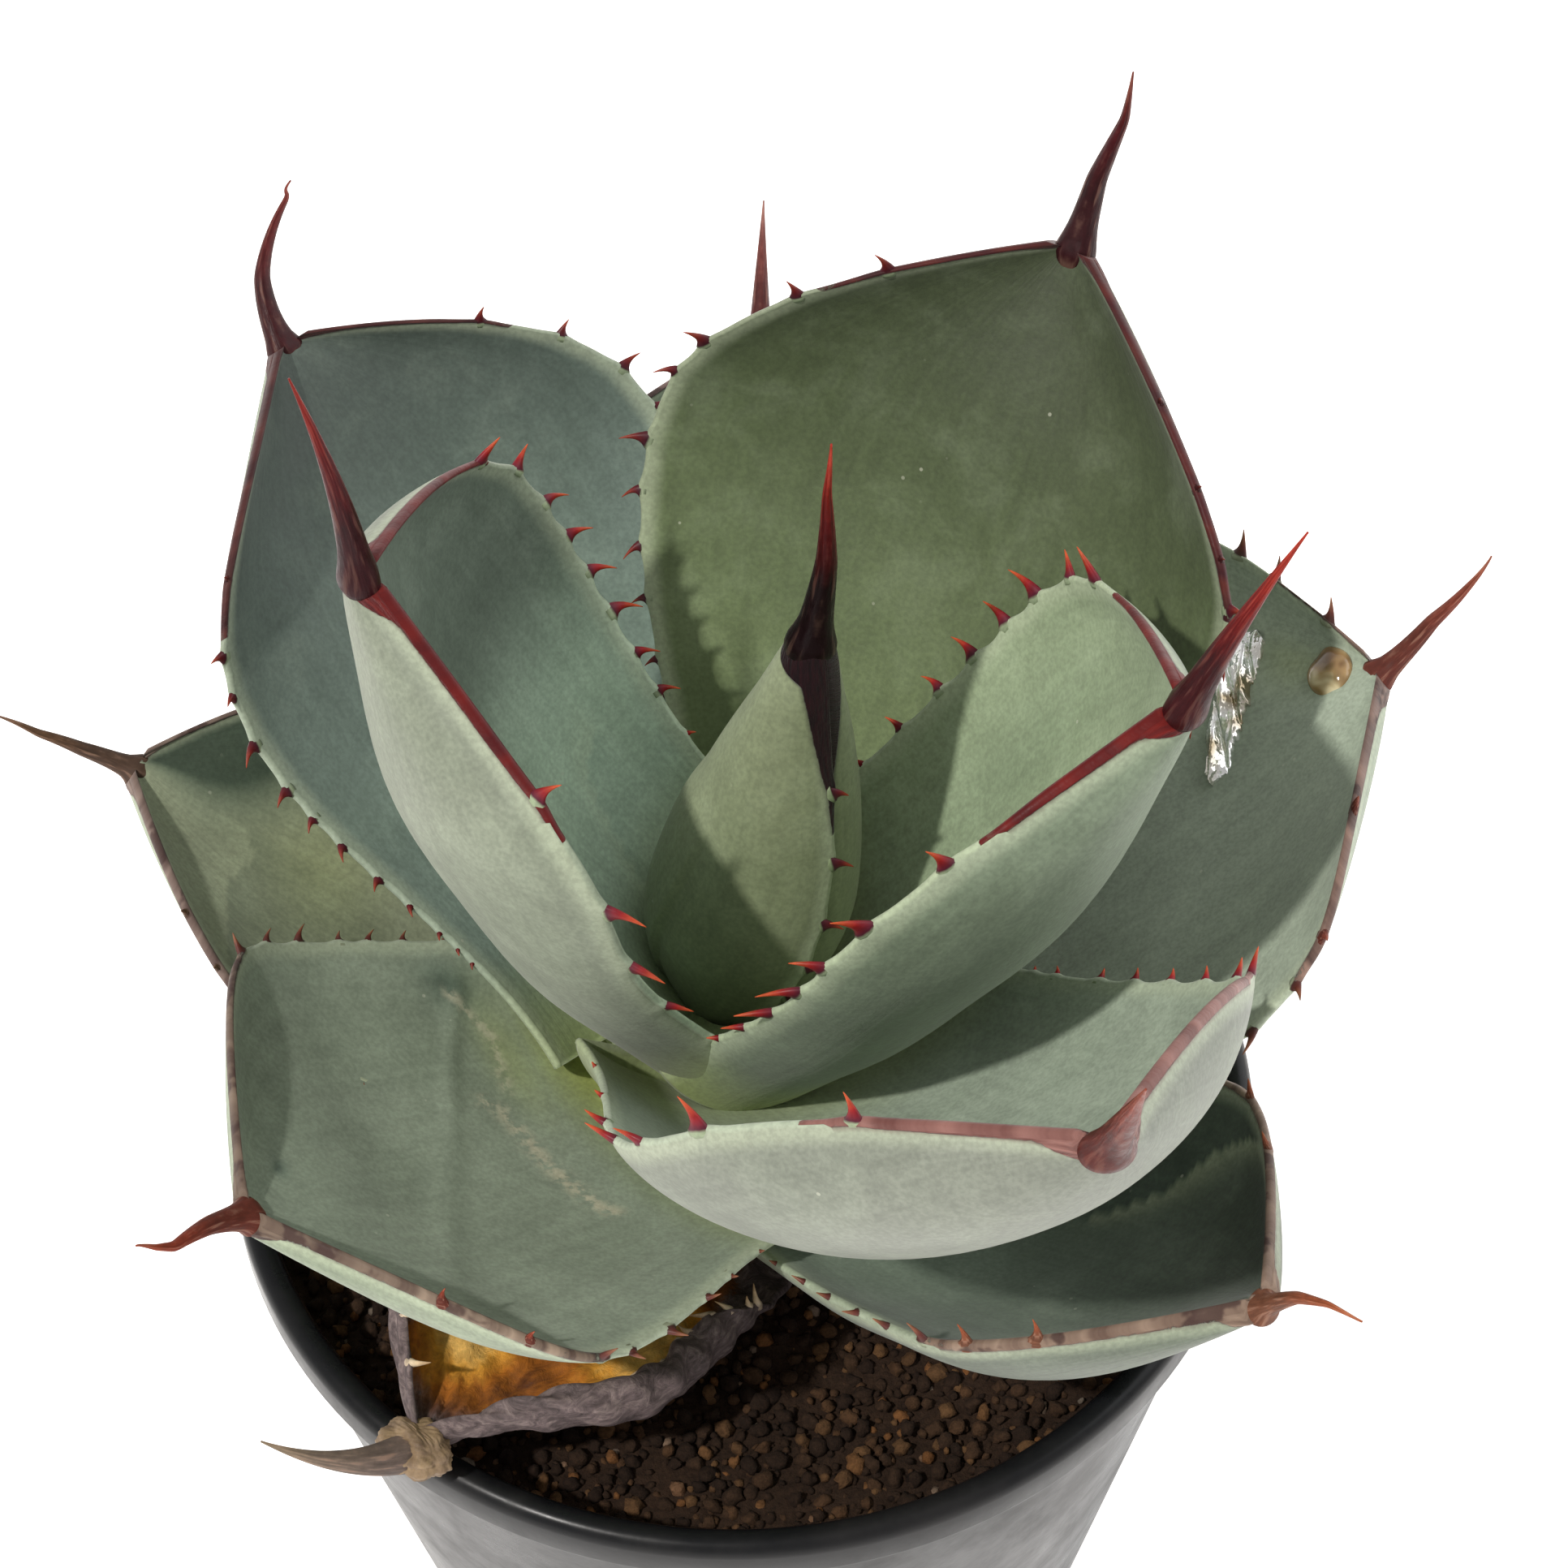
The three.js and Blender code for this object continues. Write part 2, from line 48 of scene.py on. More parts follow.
# u runs along a leaf from foot to tip, s across it from side -1 to side +1, the clockwise one. Angles are degrees.
# place: azimuth, foot radius, foot height. rise: angle above level at foot and tip. sway: sideways bend.
# size: length, width, thickness. outline: foot width and widest place as shares.
# cup: half angle of the hollow at foot, middle and tip. roll: turn about the midrib at foot and tip.
# spine: length, upward bend and bend to side +1. bends: (share of its length, aside, up) in millimetres.
# thick, flare, groove: how stout the spine is, how much its foot widens and how deep its groove is.
# face, back: colours of the inner and outer side. tone: factors of face at foot and tip, and the two u between them;
# they are painted light and shade that make a leaf lighter or darker along its length.
# horn: spine colours at base, middle and tip. rim: dark and light colour of the horny edge.
# border and teeth hold side -1, then side +1. A border is (where it starts, width). Teeth are
# (how many, first place, last place, ease), and a higher ease crowds them towards the foot.
# bite: length of the largest tooth. short: (side, from u, to u, factor of the length).
# lift: (side, from u, how far the teeth lean to the inner face). nips: (side, u, half length, share of width lost).
# marks: (kind, u, s, half lengths, strength). lines: (kind, s stations, u stations, width, strength).
# imprints: a bluish band below a line and a pale halo above it, (s stations, u stations, depth, strength); on
# leaf_inner_left the print of a neighbour's edge, on leaf_front_right painted shade below the line and painted
# sunlit lobes above it.
# creases: raised lines, (u stations, s stations, width, height).
# blister: place of a drop of dried sap. sap: both ends of a film of it and its half width in s.
# rank: its age, a key of RANKS. slot: the slot of its node. rows, columns: how fine its grid of u and s is.
LEAVES = {
    "leaf_inner_right": dict(
        place=(-19, 8, 149), rise=(47, 75), sway=2, size=(100, 81, 7.5), outline=(0.7, 0.61), cup=(68, 57, 56),
        roll=(4, 10), spine=(29, -10, -37), flare=0.5, rank="young", slot="leaf_inner", bite=4.8,
        face="#93a283", back="#788570", horn=("#340a0e", "#6a1310", "#a02b1a"), rim=("#430d10", "#6c1712"),
        border=((0.84, 0.5), (0.86, 0.6)), teeth=((9, 0.12, 0.79, 1.0), (8, 0.1, 0.82, 1.0)),
        # the dark mark is painted shade on the lower inner face towards side -1
        marks=(("dark", 0.45, -0.55, 0.35, 0.25, 0.25),)),
    "leaf_inner_left": dict(
        place=(179, 7, 154), rise=(49, 91), sway=4, size=(96, 86, 7.5), outline=(0.64, 0.67), cup=(64, 57, 52),
        roll=(-1, -10), spine=(30, -16, 26), flare=0.5, rank="young", slot="leaf_inner", bite=4.6,
        # painted light low on the inner face and painted shade towards the tip
        face="#829383", back="#818877", tone=(2.0, 0.5, 0.3, 0.62),
        horn=("#2c0a0f", "#4e1012", "#80221a"), rim=("#400d11", "#651713"),
        border=((0.8, 0.6), (0.8, 0.5)), teeth=((6, 0.06, 0.84, 1.3), (10, 0.12, 0.81, 1.05)),
        imprints=(((0.2, 0.4, 0.55, 0.7), (0.02, 0.16, 0.28, 0.3), 0.08, 0.3),)),
    "leaf_front": dict(
        place=(-65, 12, 145), rise=(28, 73), sway=9, size=(122, 92, 6), outline=(0.69, 0.59), cup=(54, 48, 67),
        roll=(7, 13), spine=(26, -6, 9), flare=0.45, rank="young", slot="leaf_front", bite=4.2,
        face="#96a291", back="#7c8175", horn=("#4c1f1b", "#6b3027", "#8a4534"), rim=("#59322e", "#956b63"),
        border=((0.7, 0.5), (0.84, 0.7)), teeth=((10, 0.12, 0.69, 1.5), (7, 0.1, 0.87, 1.0)),
        short=((-1, 0.1, 0.62, 0.7),)),
    "leaf_back_right": dict(
        place=(54, 18, 137), rise=(53, 54), sway=2, size=(112, 97, 7), outline=(0.43, 0.61), cup=(32, 29, 55),
        roll=(2, -1), spine=(31, 40, 14), thick=0.92, rank="grown", slot="leaf_back", bite=3.6,
        # painted shade, darker towards the tip
        face="#66744f", back="#7f8c76", tone=(1.2, 0.33, 0.15, 1.0),
        horn=("#2c0c10", "#45151a", "#6d2a22"), rim=("#301018", "#5a251f"),
        border=((0.86, 0.6), (0.7, 0.7)), teeth=((12, 0.16, 0.905, 1.2), (12, 0.16, 0.89, 1.0)),
        bends=((0, 0, 0), (0.35, -0.5, 0), (0.7, 0.6, 0), (1, -0.2, 0)), nips=((1, 0.5, 0.13, 0.11),)),
    "leaf_back_left": dict(
        place=(125, 16, 133), rise=(37, 42), sway=9, size=(110, 85, 7), outline=(0.6, 0.67), cup=(39, 19, 51),
        roll=(-1, -11), spine=(27, 15, 66), thick=0.8, rank="grown", slot="leaf_back", bite=3.2,
        # painted shade, darker towards the tip
        face="#66756c", back="#7c8a79", tone=(1.75, 0.4, 0.15, 1.0),
        horn=("#361316", "#551d1d", "#753029"), rim=("#2d161a", "#5a332f"),
        border=((0.74, 0.7), (0.87, 0.6)), teeth=((12, 0.18, 0.79, 1.3), (11, 0.14, 0.89, 1.0)),
        bends=((0, 0, 0), (0.4, -0.9, 0), (0.7, 0.6, 0), (0.83, 1.2, 0), (0.93, -1.2, 0), (1, -1.5, 0))),
    "leaf_front_left": dict(
        place=(214, 15, 130), rise=(20, 42), sway=2, size=(73, 86, 7.5), outline=(0.8, 0.62), cup=(36, 25, 37),
        roll=(-3, 2), spine=(24, -5, -23), thick=0.75, rank="old", bite=2.8,
        face="#8b9685", back="#87927c", horn=("#5a2a20", "#7d3322", "#97442c"), rim=("#43322c", "#968472"),
        border=((0.6, 0.35), (0.7, 0.45)), teeth=((8, 0.14, 0.86, 1.1), (9, 0.14, 0.71, 1.3)),
        lift=((-1, 0.6, 0.9),),
        bends=((0, 0, 0), (0.3, -0.2, -0.3), (0.62, -1.0, -1.1), (0.78, -0.2, -0.4), (1, 1.3, 1.2)),
        marks=(("dark", 0.25, 0.82, 0.06, 0.12, 0.8), ("dark", 0.867, 0.25, 0.02, 0.05, 0.9),
               ("yellow", 0.04, 0.4, 0.09, 0.35, 0.8), ("yellow", 0.2, 0.5, 0.05, 0.3, 0.3)),
        lines=(("scar", (-0.4, -0.33, -0.05, 0.25, 0.34), (0.22, 0.254, 0.275, 0.283, 0.32), 0.02, 0.8),
               ("scar", (0.3, 0.36, 0.6, 0.82), (0.3, 0.24, 0.21, 0.27), 0.014, 0.6)),
        creases=(((0.2, 0.25, 0.43, 0.67, 0.8), (0.86, 0.76, 0.19, -0.375, -0.6), 0.06, 0.5),)),
    "leaf_right": dict(
        place=(21, 15, 127), rise=(31, 33), sway=-3, size=(97, 95, 7.5), outline=(0.58, 0.74), cup=(27, 15, 45),
        roll=(5, 10), spine=(28, 46, 20), thick=0.72, rank="old", bite=3.9,
        face="#9ba695", back="#909b88", horn=("#5a2c24", "#7c3d31", "#96523f"), rim=("#40302e", "#8f7468"),
        border=((0.95, 0.4), (0.7, 0.5)), teeth=((16, 0.14, 0.98, 0.6), (9, 0.14, 0.9, 1.1)),
        lift=((-1, 0.8, -0.6),), short=((1, 0, 1, 0.8),),
        bends=((0, 0, 0), (0.4, -0.6, 0.5), (0.7, 0.2, 0.2), (1, 0.8, -0.6)),
        marks=(("yellow", 0.9, -0.3, 0.05, 0.15, 0.25),),
        blister=(0.942, -0.2), sap=((0.705, -0.02), (0.88, -0.47), 0.1)),
    "leaf_back": dict(
        place=(87, 14, 125), rise=(24, 36), sway=0, size=(104, 80, 7), outline=(0.6, 0.58), cup=(35, 38, 48),
        roll=(0, 0), spine=(24, -22, 0), thick=0.75, rank="grown", bite=3.0,
        face="#7a8977", back="#87937f", horn=("#4d2524", "#6b3a36", "#8a5c55"), rim=("#43302f", "#7b6763"),
        border=((0.8, 0.4), (0.8, 0.4)), teeth=((10, 0.14, 0.84, 1.1), (10, 0.14, 0.84, 1.1))),
    "leaf_front_right": dict(
        place=(-42, 13, 122), rise=(11, 52), sway=-2, size=(91, 67, 7), outline=(0.69, 0.64), cup=(29, 47, 50),
        roll=(9, 2), spine=(20, -14, 2), thick=0.62, rank="old", bite=2.8,
        # painted shade, darker towards the tip
        face="#6f7d6d", back="#586153", tone=(1.15, 0.28, 0.15, 1.0),
        horn=("#66402f", "#84452c", "#a05735"), rim=("#503c34", "#8f7a6a"),
        border=((0.62, 0.35), (0.66, 0.5)), teeth=((9, 0.14, 0.85, 1.1), (9, 0.14, 0.83, 1.1)),
        lift=((-1, 0.6, 0.4), (1, 0.6, 0.8)), bends=((0, 0, 0), (0.45, 0, 1.6), (0.75, 0, 1.2), (1, 0, -0.6)),
        # painted shade with painted sunlit lobes along a scalloped line towards side -1
        imprints=(((-0.95, -0.85, -0.7, -0.5, -0.3), (0.82, 0.76, 0.68, 0.62, 0.5), 0.3, 0.6),)),
    "leaf_left": dict(
        place=(156, 12, 123), rise=(21, 30), sway=4, size=(90, 70, 6.5), outline=(0.61, 0.55), cup=(35, 35, 42),
        roll=(0, -3), spine=(24, 22, -37), thick=0.65, rank="old", bite=2.4,
        face="#8c937a", back="#88937c", horn=("#4c3a30", "#604633", "#7a5a46"), rim=("#4a3834", "#8c7a70"),
        border=((0.55, 0.35), (0.55, 0.35)), teeth=((9, 0.12, 0.82, 1.1), (9, 0.12, 0.82, 1.1)),
        short=((-1, 0.3, 0.57, 0.45),), bends=((0, 0, 0), (0.35, -0.5, -0.4), (0.65, -0.3, -0.6), (1, 0.6, 0.5)),
        # the dark mark near the tip is a painted shadow
        marks=(("dark", 0.9, 0.55, 0.13, 0.45, 1.7), ("yellow", 0.66, 0.02, 0.1, 0.3, 0.2)),
        imprints=(((-0.9, -0.4, -0.1, 0.02), (0.72, 0.78, 0.76, 0.8), 0.2, 0.35),)),
}

# what a leaf has unless it says otherwise; curl turns each side's margin further in from curl_from on,
# spine_foot is how far below its base the spine flares, and spine_round how much of the flare is in its depth
USUAL = dict(slot="leaf_low", tone=(1.0, 1.0, 0.15, 1.0), thick=1, flare=0.24, groove=0.16, spine_foot=0,
             spine_round=0.35, bends=((0, 0, 0), (1, 0, 0)), curl=(0, 0), curl_from=(0.6, 0.6), wrinkle=0, sap=None,
             short=(), lift=(), nips=(), marks=(), lines=(), imprints=(), creases=(), rows=190, columns=61)

WITHERED = Values(**{**USUAL, **dict(
    place=(233, 17, 117), rise=(9, 18), sway=0, size=(58, 58, 0.9), outline=(0.75, 0.5), cup=(12, 26, 60),
    roll=(4, -4), spine=(24, 25, 62), curl=(215, 100), curl_from=(0.76, 0.7), wrinkle=1.6, thick=1.35, groove=0.3,
    bite=3.0, horn=("#5f524b", "#6d5f54", "#84745f"), border=((2, 0), (2, 0)), rows=130, columns=91,
    teeth=((13, 0.2, 0.9, 1.2), (12, 0.25, 0.92, 1.2)))})

BUD = Values(**{**USUAL, **dict(
    foot=151.6, length=67, lean=(11.6, 6.8), foot_radius=7.5, radius=14.3, end_radius=2.4, widest=0.3, taper=1.5,
    shoulder=0.4, overlap=1.3, overlap_fade=0.33, seam_foot=-95, seam_swing=42, seam_turn=0.6, lobe=0.8,
    lobe_edge=0.79, spine=(33, 0, -8), spine_foot=0.05, spine_round=1, flare=0.4, groove=0.1, rank="young",
    bends=((0, 0, 0), (0.4, 0.35, 0), (0.75, -0.3, 0), (1, 0.1, 0)), rows=150, columns=140,
    teeth=(0.05, 0.1, 0.155, 0.22, 0.3, 0.4, 0.54, 0.7),
    face="#798263", back="#798263", horn=("#16070a", "#4c0f10", "#9a2a1c"), rim=("#12060a", "#240a10"))})

# gloss: roughness of the horn. woody: how weathered it is. dull: factor of the teeth on the horny border.
# teeth: their colours at the cushion, foot, middle and tip.
RANKS = dict(
    young=dict(gloss=0.34, woody=0.0, dull=0.6, teeth=("#8d9a7d", "#4e1a2b", "#86181a", "#bb5029")),
    grown=dict(gloss=0.4, woody=0.35, dull=0.6, teeth=("#838f74", "#381420", "#5c171a", "#8f3b26")),
    old=dict(gloss=0.6, woody=1.0, dull=1.1, teeth=("#8a917a", "#452c2a", "#5a2b24", "#85573d")))

BLADE = Values(root=9, root_width=0.55, rise_ease=1.3, sway_ease=1.5, middle=0.55, foot_ease=1.6, tip_width=0.06,
               tip_ease=2.1, thinning=0.45, tip_thinning=0.5, tip_thinning_ease=8, edge=1.2, edge_ease=2.2,
               edge_fullness=0.8, steps=240, cap_angles=(45, 90, 135), border_height=0.22, border_slope=0.35,
               border_least=0.05, dull_from=0.045)

SPINE = Values(steps=4, radius=2.5, tip_radius=0.14, taper=1.15, below=1.5, sink=1.1, samples=56, sides=28)

# ---- the other pieces ----

POT = Values(height=125, base_radius=52, wall_slope=0.178, wall=1.8, floor=4, lip_radius=75, lip_inner=70.6,
             lip_bottom=118, foot_width=8, recess=2, drain_holes=8, drain_radius=4.5, drain_ring=28, sides=192)
SOIL = Values(top=112, bottom=4.3, hole=13.4, rows=64, sides=180)
STEM = Values(bottom=88, top=151, foot_radius=13, top_radius=7, rows=90, sides=96)
KNOT = Values(radii=(5.4, 4.4, 3.4), rows=60, sides=90, cap=0.06)
BLISTER = Values(radii=(4.2, 3.4, 1.7), rows=40, sides=60, cap=0.05)
FILM = Values(rows=90, columns=34, ragged=14, thick=0.7)
SEEDS = Values(leaf=5, dead_places=61, dead_teeth=5, sap=3, bud=4, soil=21)

# sorts of grain: how many, radius from, to, height of the middle over the bed from, to, gap, subdivisions
GRAINS = ((1350, 0.95, 1.5, -0.2, 0.5, 2.1, 2), (3100, 0.5, 0.9, -0.5, 0.25, 1.15, 1))

# ---- small helpers ----


def linear(code):
    """Linear colour of a hex code."""
    parts = [int(code[i:i + 2], 16) / 255 for i in (1, 3, 5)]
    return [p / 12.92 if p <= 0.04045 else ((p + 0.055) / 1.055) ** 2.4 for p in parts]


def smooth(x):
    x = clip(x, 0, 1)
    return x * x * (3 - 2 * x)


def bump(x, width):
    return np.exp(-((x / width) ** 2))


def unit(v):
    return v / np.maximum(np.linalg.norm(v, axis=-1, keepdims=True), 1e-12)


def turns(count):
    """Angles of equal steps round a circle."""
    return np.arange(count) / count * 2 * pi


def globe(form):
    """Directions round a ball, ring by ring from the top; cap is the angle that is left open at both ends."""
    turn, tilt = np.meshgrid(turns(form.sides), linspace(form.cap, pi - form.cap, form.rows))
    return stack([sin(tilt) * cos(turn), sin(tilt) * sin(turn), cos(tilt)], -1)


def lathe(profile, sides):
    """Rings of points of a profile of (radius, height) pairs turned round the axis."""
    angle = turns(sides)
    r, z = array(profile, float).T
    return stack([r[:, None] * cos(angle), r[:, None] * sin(angle), z[:, None] + 0 * angle], -1)


def wrapped(front, behind, caps):
    """Values round a blade: inner side, caps of one margin, outer side backwards, caps of the other margin."""
    ends = [np.repeat(front[:, j], caps, 1) for j in ([-1], [0])]
    return concatenate([front, ends[0], behind[:, ::-1], ends[1]], 1)


class Piece:
    """Closed shells gathered into one mesh, with one value per point for each named attribute."""

    def __init__(self, *names):
        self.points, self.faces, self.slots, self.count = [], [], [], 0
        self.values = {name: [] for name in names}

    def add(self, points, faces, slot, values):
        self.faces += [tuple(i + self.count for i in f) for f in faces]
        self.slots += [slot] * len(faces)
        self.points.append(points)
        self.count += len(points)
        for name, held in self.values.items():
            held.append(values[name])

    def shell(self, rings, slot=SKIN, **values):
        """A skin over rings of points, closed by a fan at both ends. Each value is spread over the rings."""
        rows, count = rings.shape[:2]
        i, j = np.meshgrid(np.arange(rows - 1), np.arange(count), indexing="ij")
        a, b = i * count + j, i * count + (j + 1) % count
        faces = stack([a, b, b + count, a + count], -1).reshape(-1, 4).tolist()
        ends = range(count)[::-1], range((rows - 1) * count, rows * count)
        for hub, ring in enumerate(ends, rows * count):
            faces += [(ring[k], ring[(k + 1) % count], hub) for k in range(count)]
        points = np.vstack([rings.reshape(-1, 3), rings[0].mean(0), rings[-1].mean(0)])
        corners = array([(f[0], f[k], f[k + 1]) for f in faces for k in range(1, len(f) - 1)])
        a, b, c = (points[corners[:, k]] for k in range(3))
        if np.einsum("ij,ij->i", a, cross(b, c)).sum() < 0:
            faces = [f[::-1] for f in faces]
        spread = {name: np.broadcast_to(values.get(name, 0.0), (rows, count)) for name in self.values}
        held = {name: np.append(v, [v[0, ::-1].mean(), v[-1].mean()]) for name, v in spread.items()}
        self.add(points, faces, slot, held)

    def tube(self, centres, side_a, side_b, radius_a, radius_b, sides, slot, t=0.0, scale=1.0):
        """A tube along the centres, elliptical in the two side directions; scale shapes its section."""
        angle = turns(sides)
        a = (radius_a[:, None] * cos(angle) * scale)[..., None] * side_a[:, None]
        b = (radius_b[:, None] * sin(angle) * scale)[..., None] * side_b[:, None]
        self.shell(centres[:, None] + a + b, slot, across=sin(angle), t=np.reshape(t, (-1, 1)))

    def made(self, name, materials=()):
        """The gathered shells as an object of the scene."""
        mesh = bpy.data.meshes.new(name)
        mesh.from_pydata((np.vstack(self.points) * MM).tolist(), [], self.faces)
        for material in materials:
            mesh.materials.append(material)
        mesh.polygons.foreach_set("material_index", self.slots)
        mesh.polygons.foreach_set("use_smooth", [True] * len(self.faces))
        for key, held in self.values.items():
            layer = mesh.attributes.new(key, "FLOAT", "POINT")
            layer.data.foreach_set("value", concatenate(held).astype(np.float32))
        mesh.update()
        thing = bpy.data.objects.new(name, mesh)
        bpy.context.scene.collection.objects.link(thing)
        return thing

    def finish(self, node, materials, slot):
        stand_in(self.made(node + "_fine", materials), node)


def stand_in(thing, node):
    """Lets an object take the place of a node of the part."""
    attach(thing, "root")
    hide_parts(node)


# ---- node materials ----


class Shader:
    """A Principled material and short ways to build its nodes."""

    def __init__(self, name, **sockets):
        self.material = bpy.data.materials.new(name)
        self.material.use_nodes = True
        self.tree = self.material.node_tree
        self.surface = self.tree.nodes["Principled BSDF"]
        self.place = self.tree.nodes.new("ShaderNodeTexCoord").outputs["Object"]
        for key, value in sockets.items():
            self.surface.inputs[key.replace("_", " ")].default_value = value

    def put(self, value, socket):
        if isinstance(value, bpy.types.NodeSocket):
            self.tree.links.new(value, socket)
        elif isinstance(value, str):
            socket.default_value = (*linear(value), 1)[:len(socket.default_value)]
        elif value is not None:
            socket.default_value = value

    def node(self, kind, inputs=(), output=0, **settings):
        """An output of a new node, with its inputs given by name or number."""
        node = self.tree.nodes.new("ShaderNode" + kind)
        for key, value in settings.items():
            setattr(node, key, value)
        for key, value in dict(inputs).items():
            self.put(value, node.inputs[key])
        return node.outputs[output]

    def value(self, name):
        return self.node("Attribute", output="Fac", attribute_name=name)

    def noise(self, scale, detail=3, roughness=0.55, distortion=0.0, stretch=None):
        place = self.node("Mapping", {"Vector": self.place, "Scale": stretch}) if stretch else self.place
        return self.node("TexNoise", {"Vector": place, "Scale": scale, "Detail": detail, "Roughness": roughness,
                                      "Distortion": distortion})

    def drawn_out(self, first, second, first_scale, second_scale):
        """Noise over two stored values, so that it runs in streaks along a leaf."""
        plane = {0: self.product(self.value(first), first_scale), 1: self.product(self.value(second), second_scale)}
        return self.node("TexNoise", {"Vector": self.node("CombineXYZ", plane), "Scale": 1.0, "Detail": 4.0})

    def math(self, operation, a, b=0.0, c=0.0):
        return self.node("Math", {0: a, 1: b, 2: c}, operation=operation)

    def product(self, a, b):
        return self.math("MULTIPLY", a, b)

    def jitter(self, value, noise, amount):
        """The value plus noise that runs over the amount, half of it below zero."""
        return self.math("ADD", value, self.math("MULTIPLY_ADD", noise, amount, -amount / 2))

    def step(self, value, low, high, to=(0.0, 1.0)):
        return self.node("MapRange", {"Value": value, "From Min": low, "From Max": high, "To Min": to[0],
                                      "To Max": to[1]}, interpolation_type="SMOOTHSTEP")

    def mix(self, share, a, b, blend="MIX"):
        return self.node("Mix", {0: share, 6: a, 7: b}, 2, data_type="RGBA", blend_type=blend)

    def tinted(self, share, colour, code):
        """The colour, multiplied by a second one as far as the share says."""
        return self.mix(share, colour, self.mix(1.0, colour, code, "MULTIPLY"))

    def ramp(self, value, *stops):
        colour = self.node("ValToRGB", {0: value})
        points = colour.node.color_ramp.elements
        while len(points) < len(stops):
            points.new(0.5)
        for point, (at, code) in zip(points, stops):
            point.position, point.color = at, (*linear(code), 1)
        return colour

    def times(self, colour, factor):
        return self.node("VectorMath", {0: colour, "Scale": factor}, operation="SCALE")

    def scaled(self, colour, amount, low, high):
        """The colour times a factor that runs from low to high with amount. A code is a colour too."""
        if isinstance(colour, str):
            code, colour = colour, self.node("RGB")
            colour.default_value = (*linear(code), 1)
        return self.times(colour, self.step(amount, 0.3, 0.7, (low, high)))

    def relief(self, height, distance, strength=1.0, below=None):
        return self.node("Bump", {"Distance": distance, "Strength": strength, "Height": height, "Normal": below})

    def use(self, colour=None, roughness=None, normal=None):
        for key, value in (("Base Color", colour), ("Roughness", roughness), ("Normal", normal)):
            self.put(value, self.surface.inputs[key])
        return self.material


def horn_material(name, horn, rank):
    """Spines and worn teeth: base to tip colours in streaks, dusty when old."""
    s = Shader(name, Specular_IOR_Level=0.16)
    gloss, woody = RANKS[rank]["gloss"], RANKS[rank]["woody"]
    streak, grain = s.drawn_out("across", "t", 3.2, 5.0), s.noise(900, 4, 0.6)
    along = s.jitter(s.value("t"), streak, 0.24)
    colour = s.ramp(along, (0.0, horn[0]), (0.3, horn[0]), (0.62, horn[1]), (1.0, horn[2]))
    colour = s.scaled(s.scaled(colour, streak, 0.72, 1.32), grain, 0.88, 1.12)
    colour = s.mix(s.product(s.step(streak, 0.5, 0.66), 0.12 + 0.3 * woody), colour, "#9a7a68")
    rough = s.step(grain, 0.3, 0.7, (gloss - 0.06, gloss + 0.14))
    return s.use(colour, rough, s.relief(grain, 0.00006, 0.5, s.relief(streak, 0.0005, 0.5)))


def tooth_material(name, colours):
    """Teeth: a violet foot on a pale cushion, a red middle and an orange tip."""
    s = Shader(name, Specular_IOR_Level=0.25)
    grain = s.noise(900, 3)
    along = s.jitter(s.value("t"), s.noise(260, 2), 0.16)
    colour = s.ramp(along, *zip((0.0, 0.08, 0.42, 0.9), colours))
    return s.use(s.scaled(colour, grain, 0.85, 1.15), s.step(grain, 0.3, 0.7, (0.35, 0.5)))


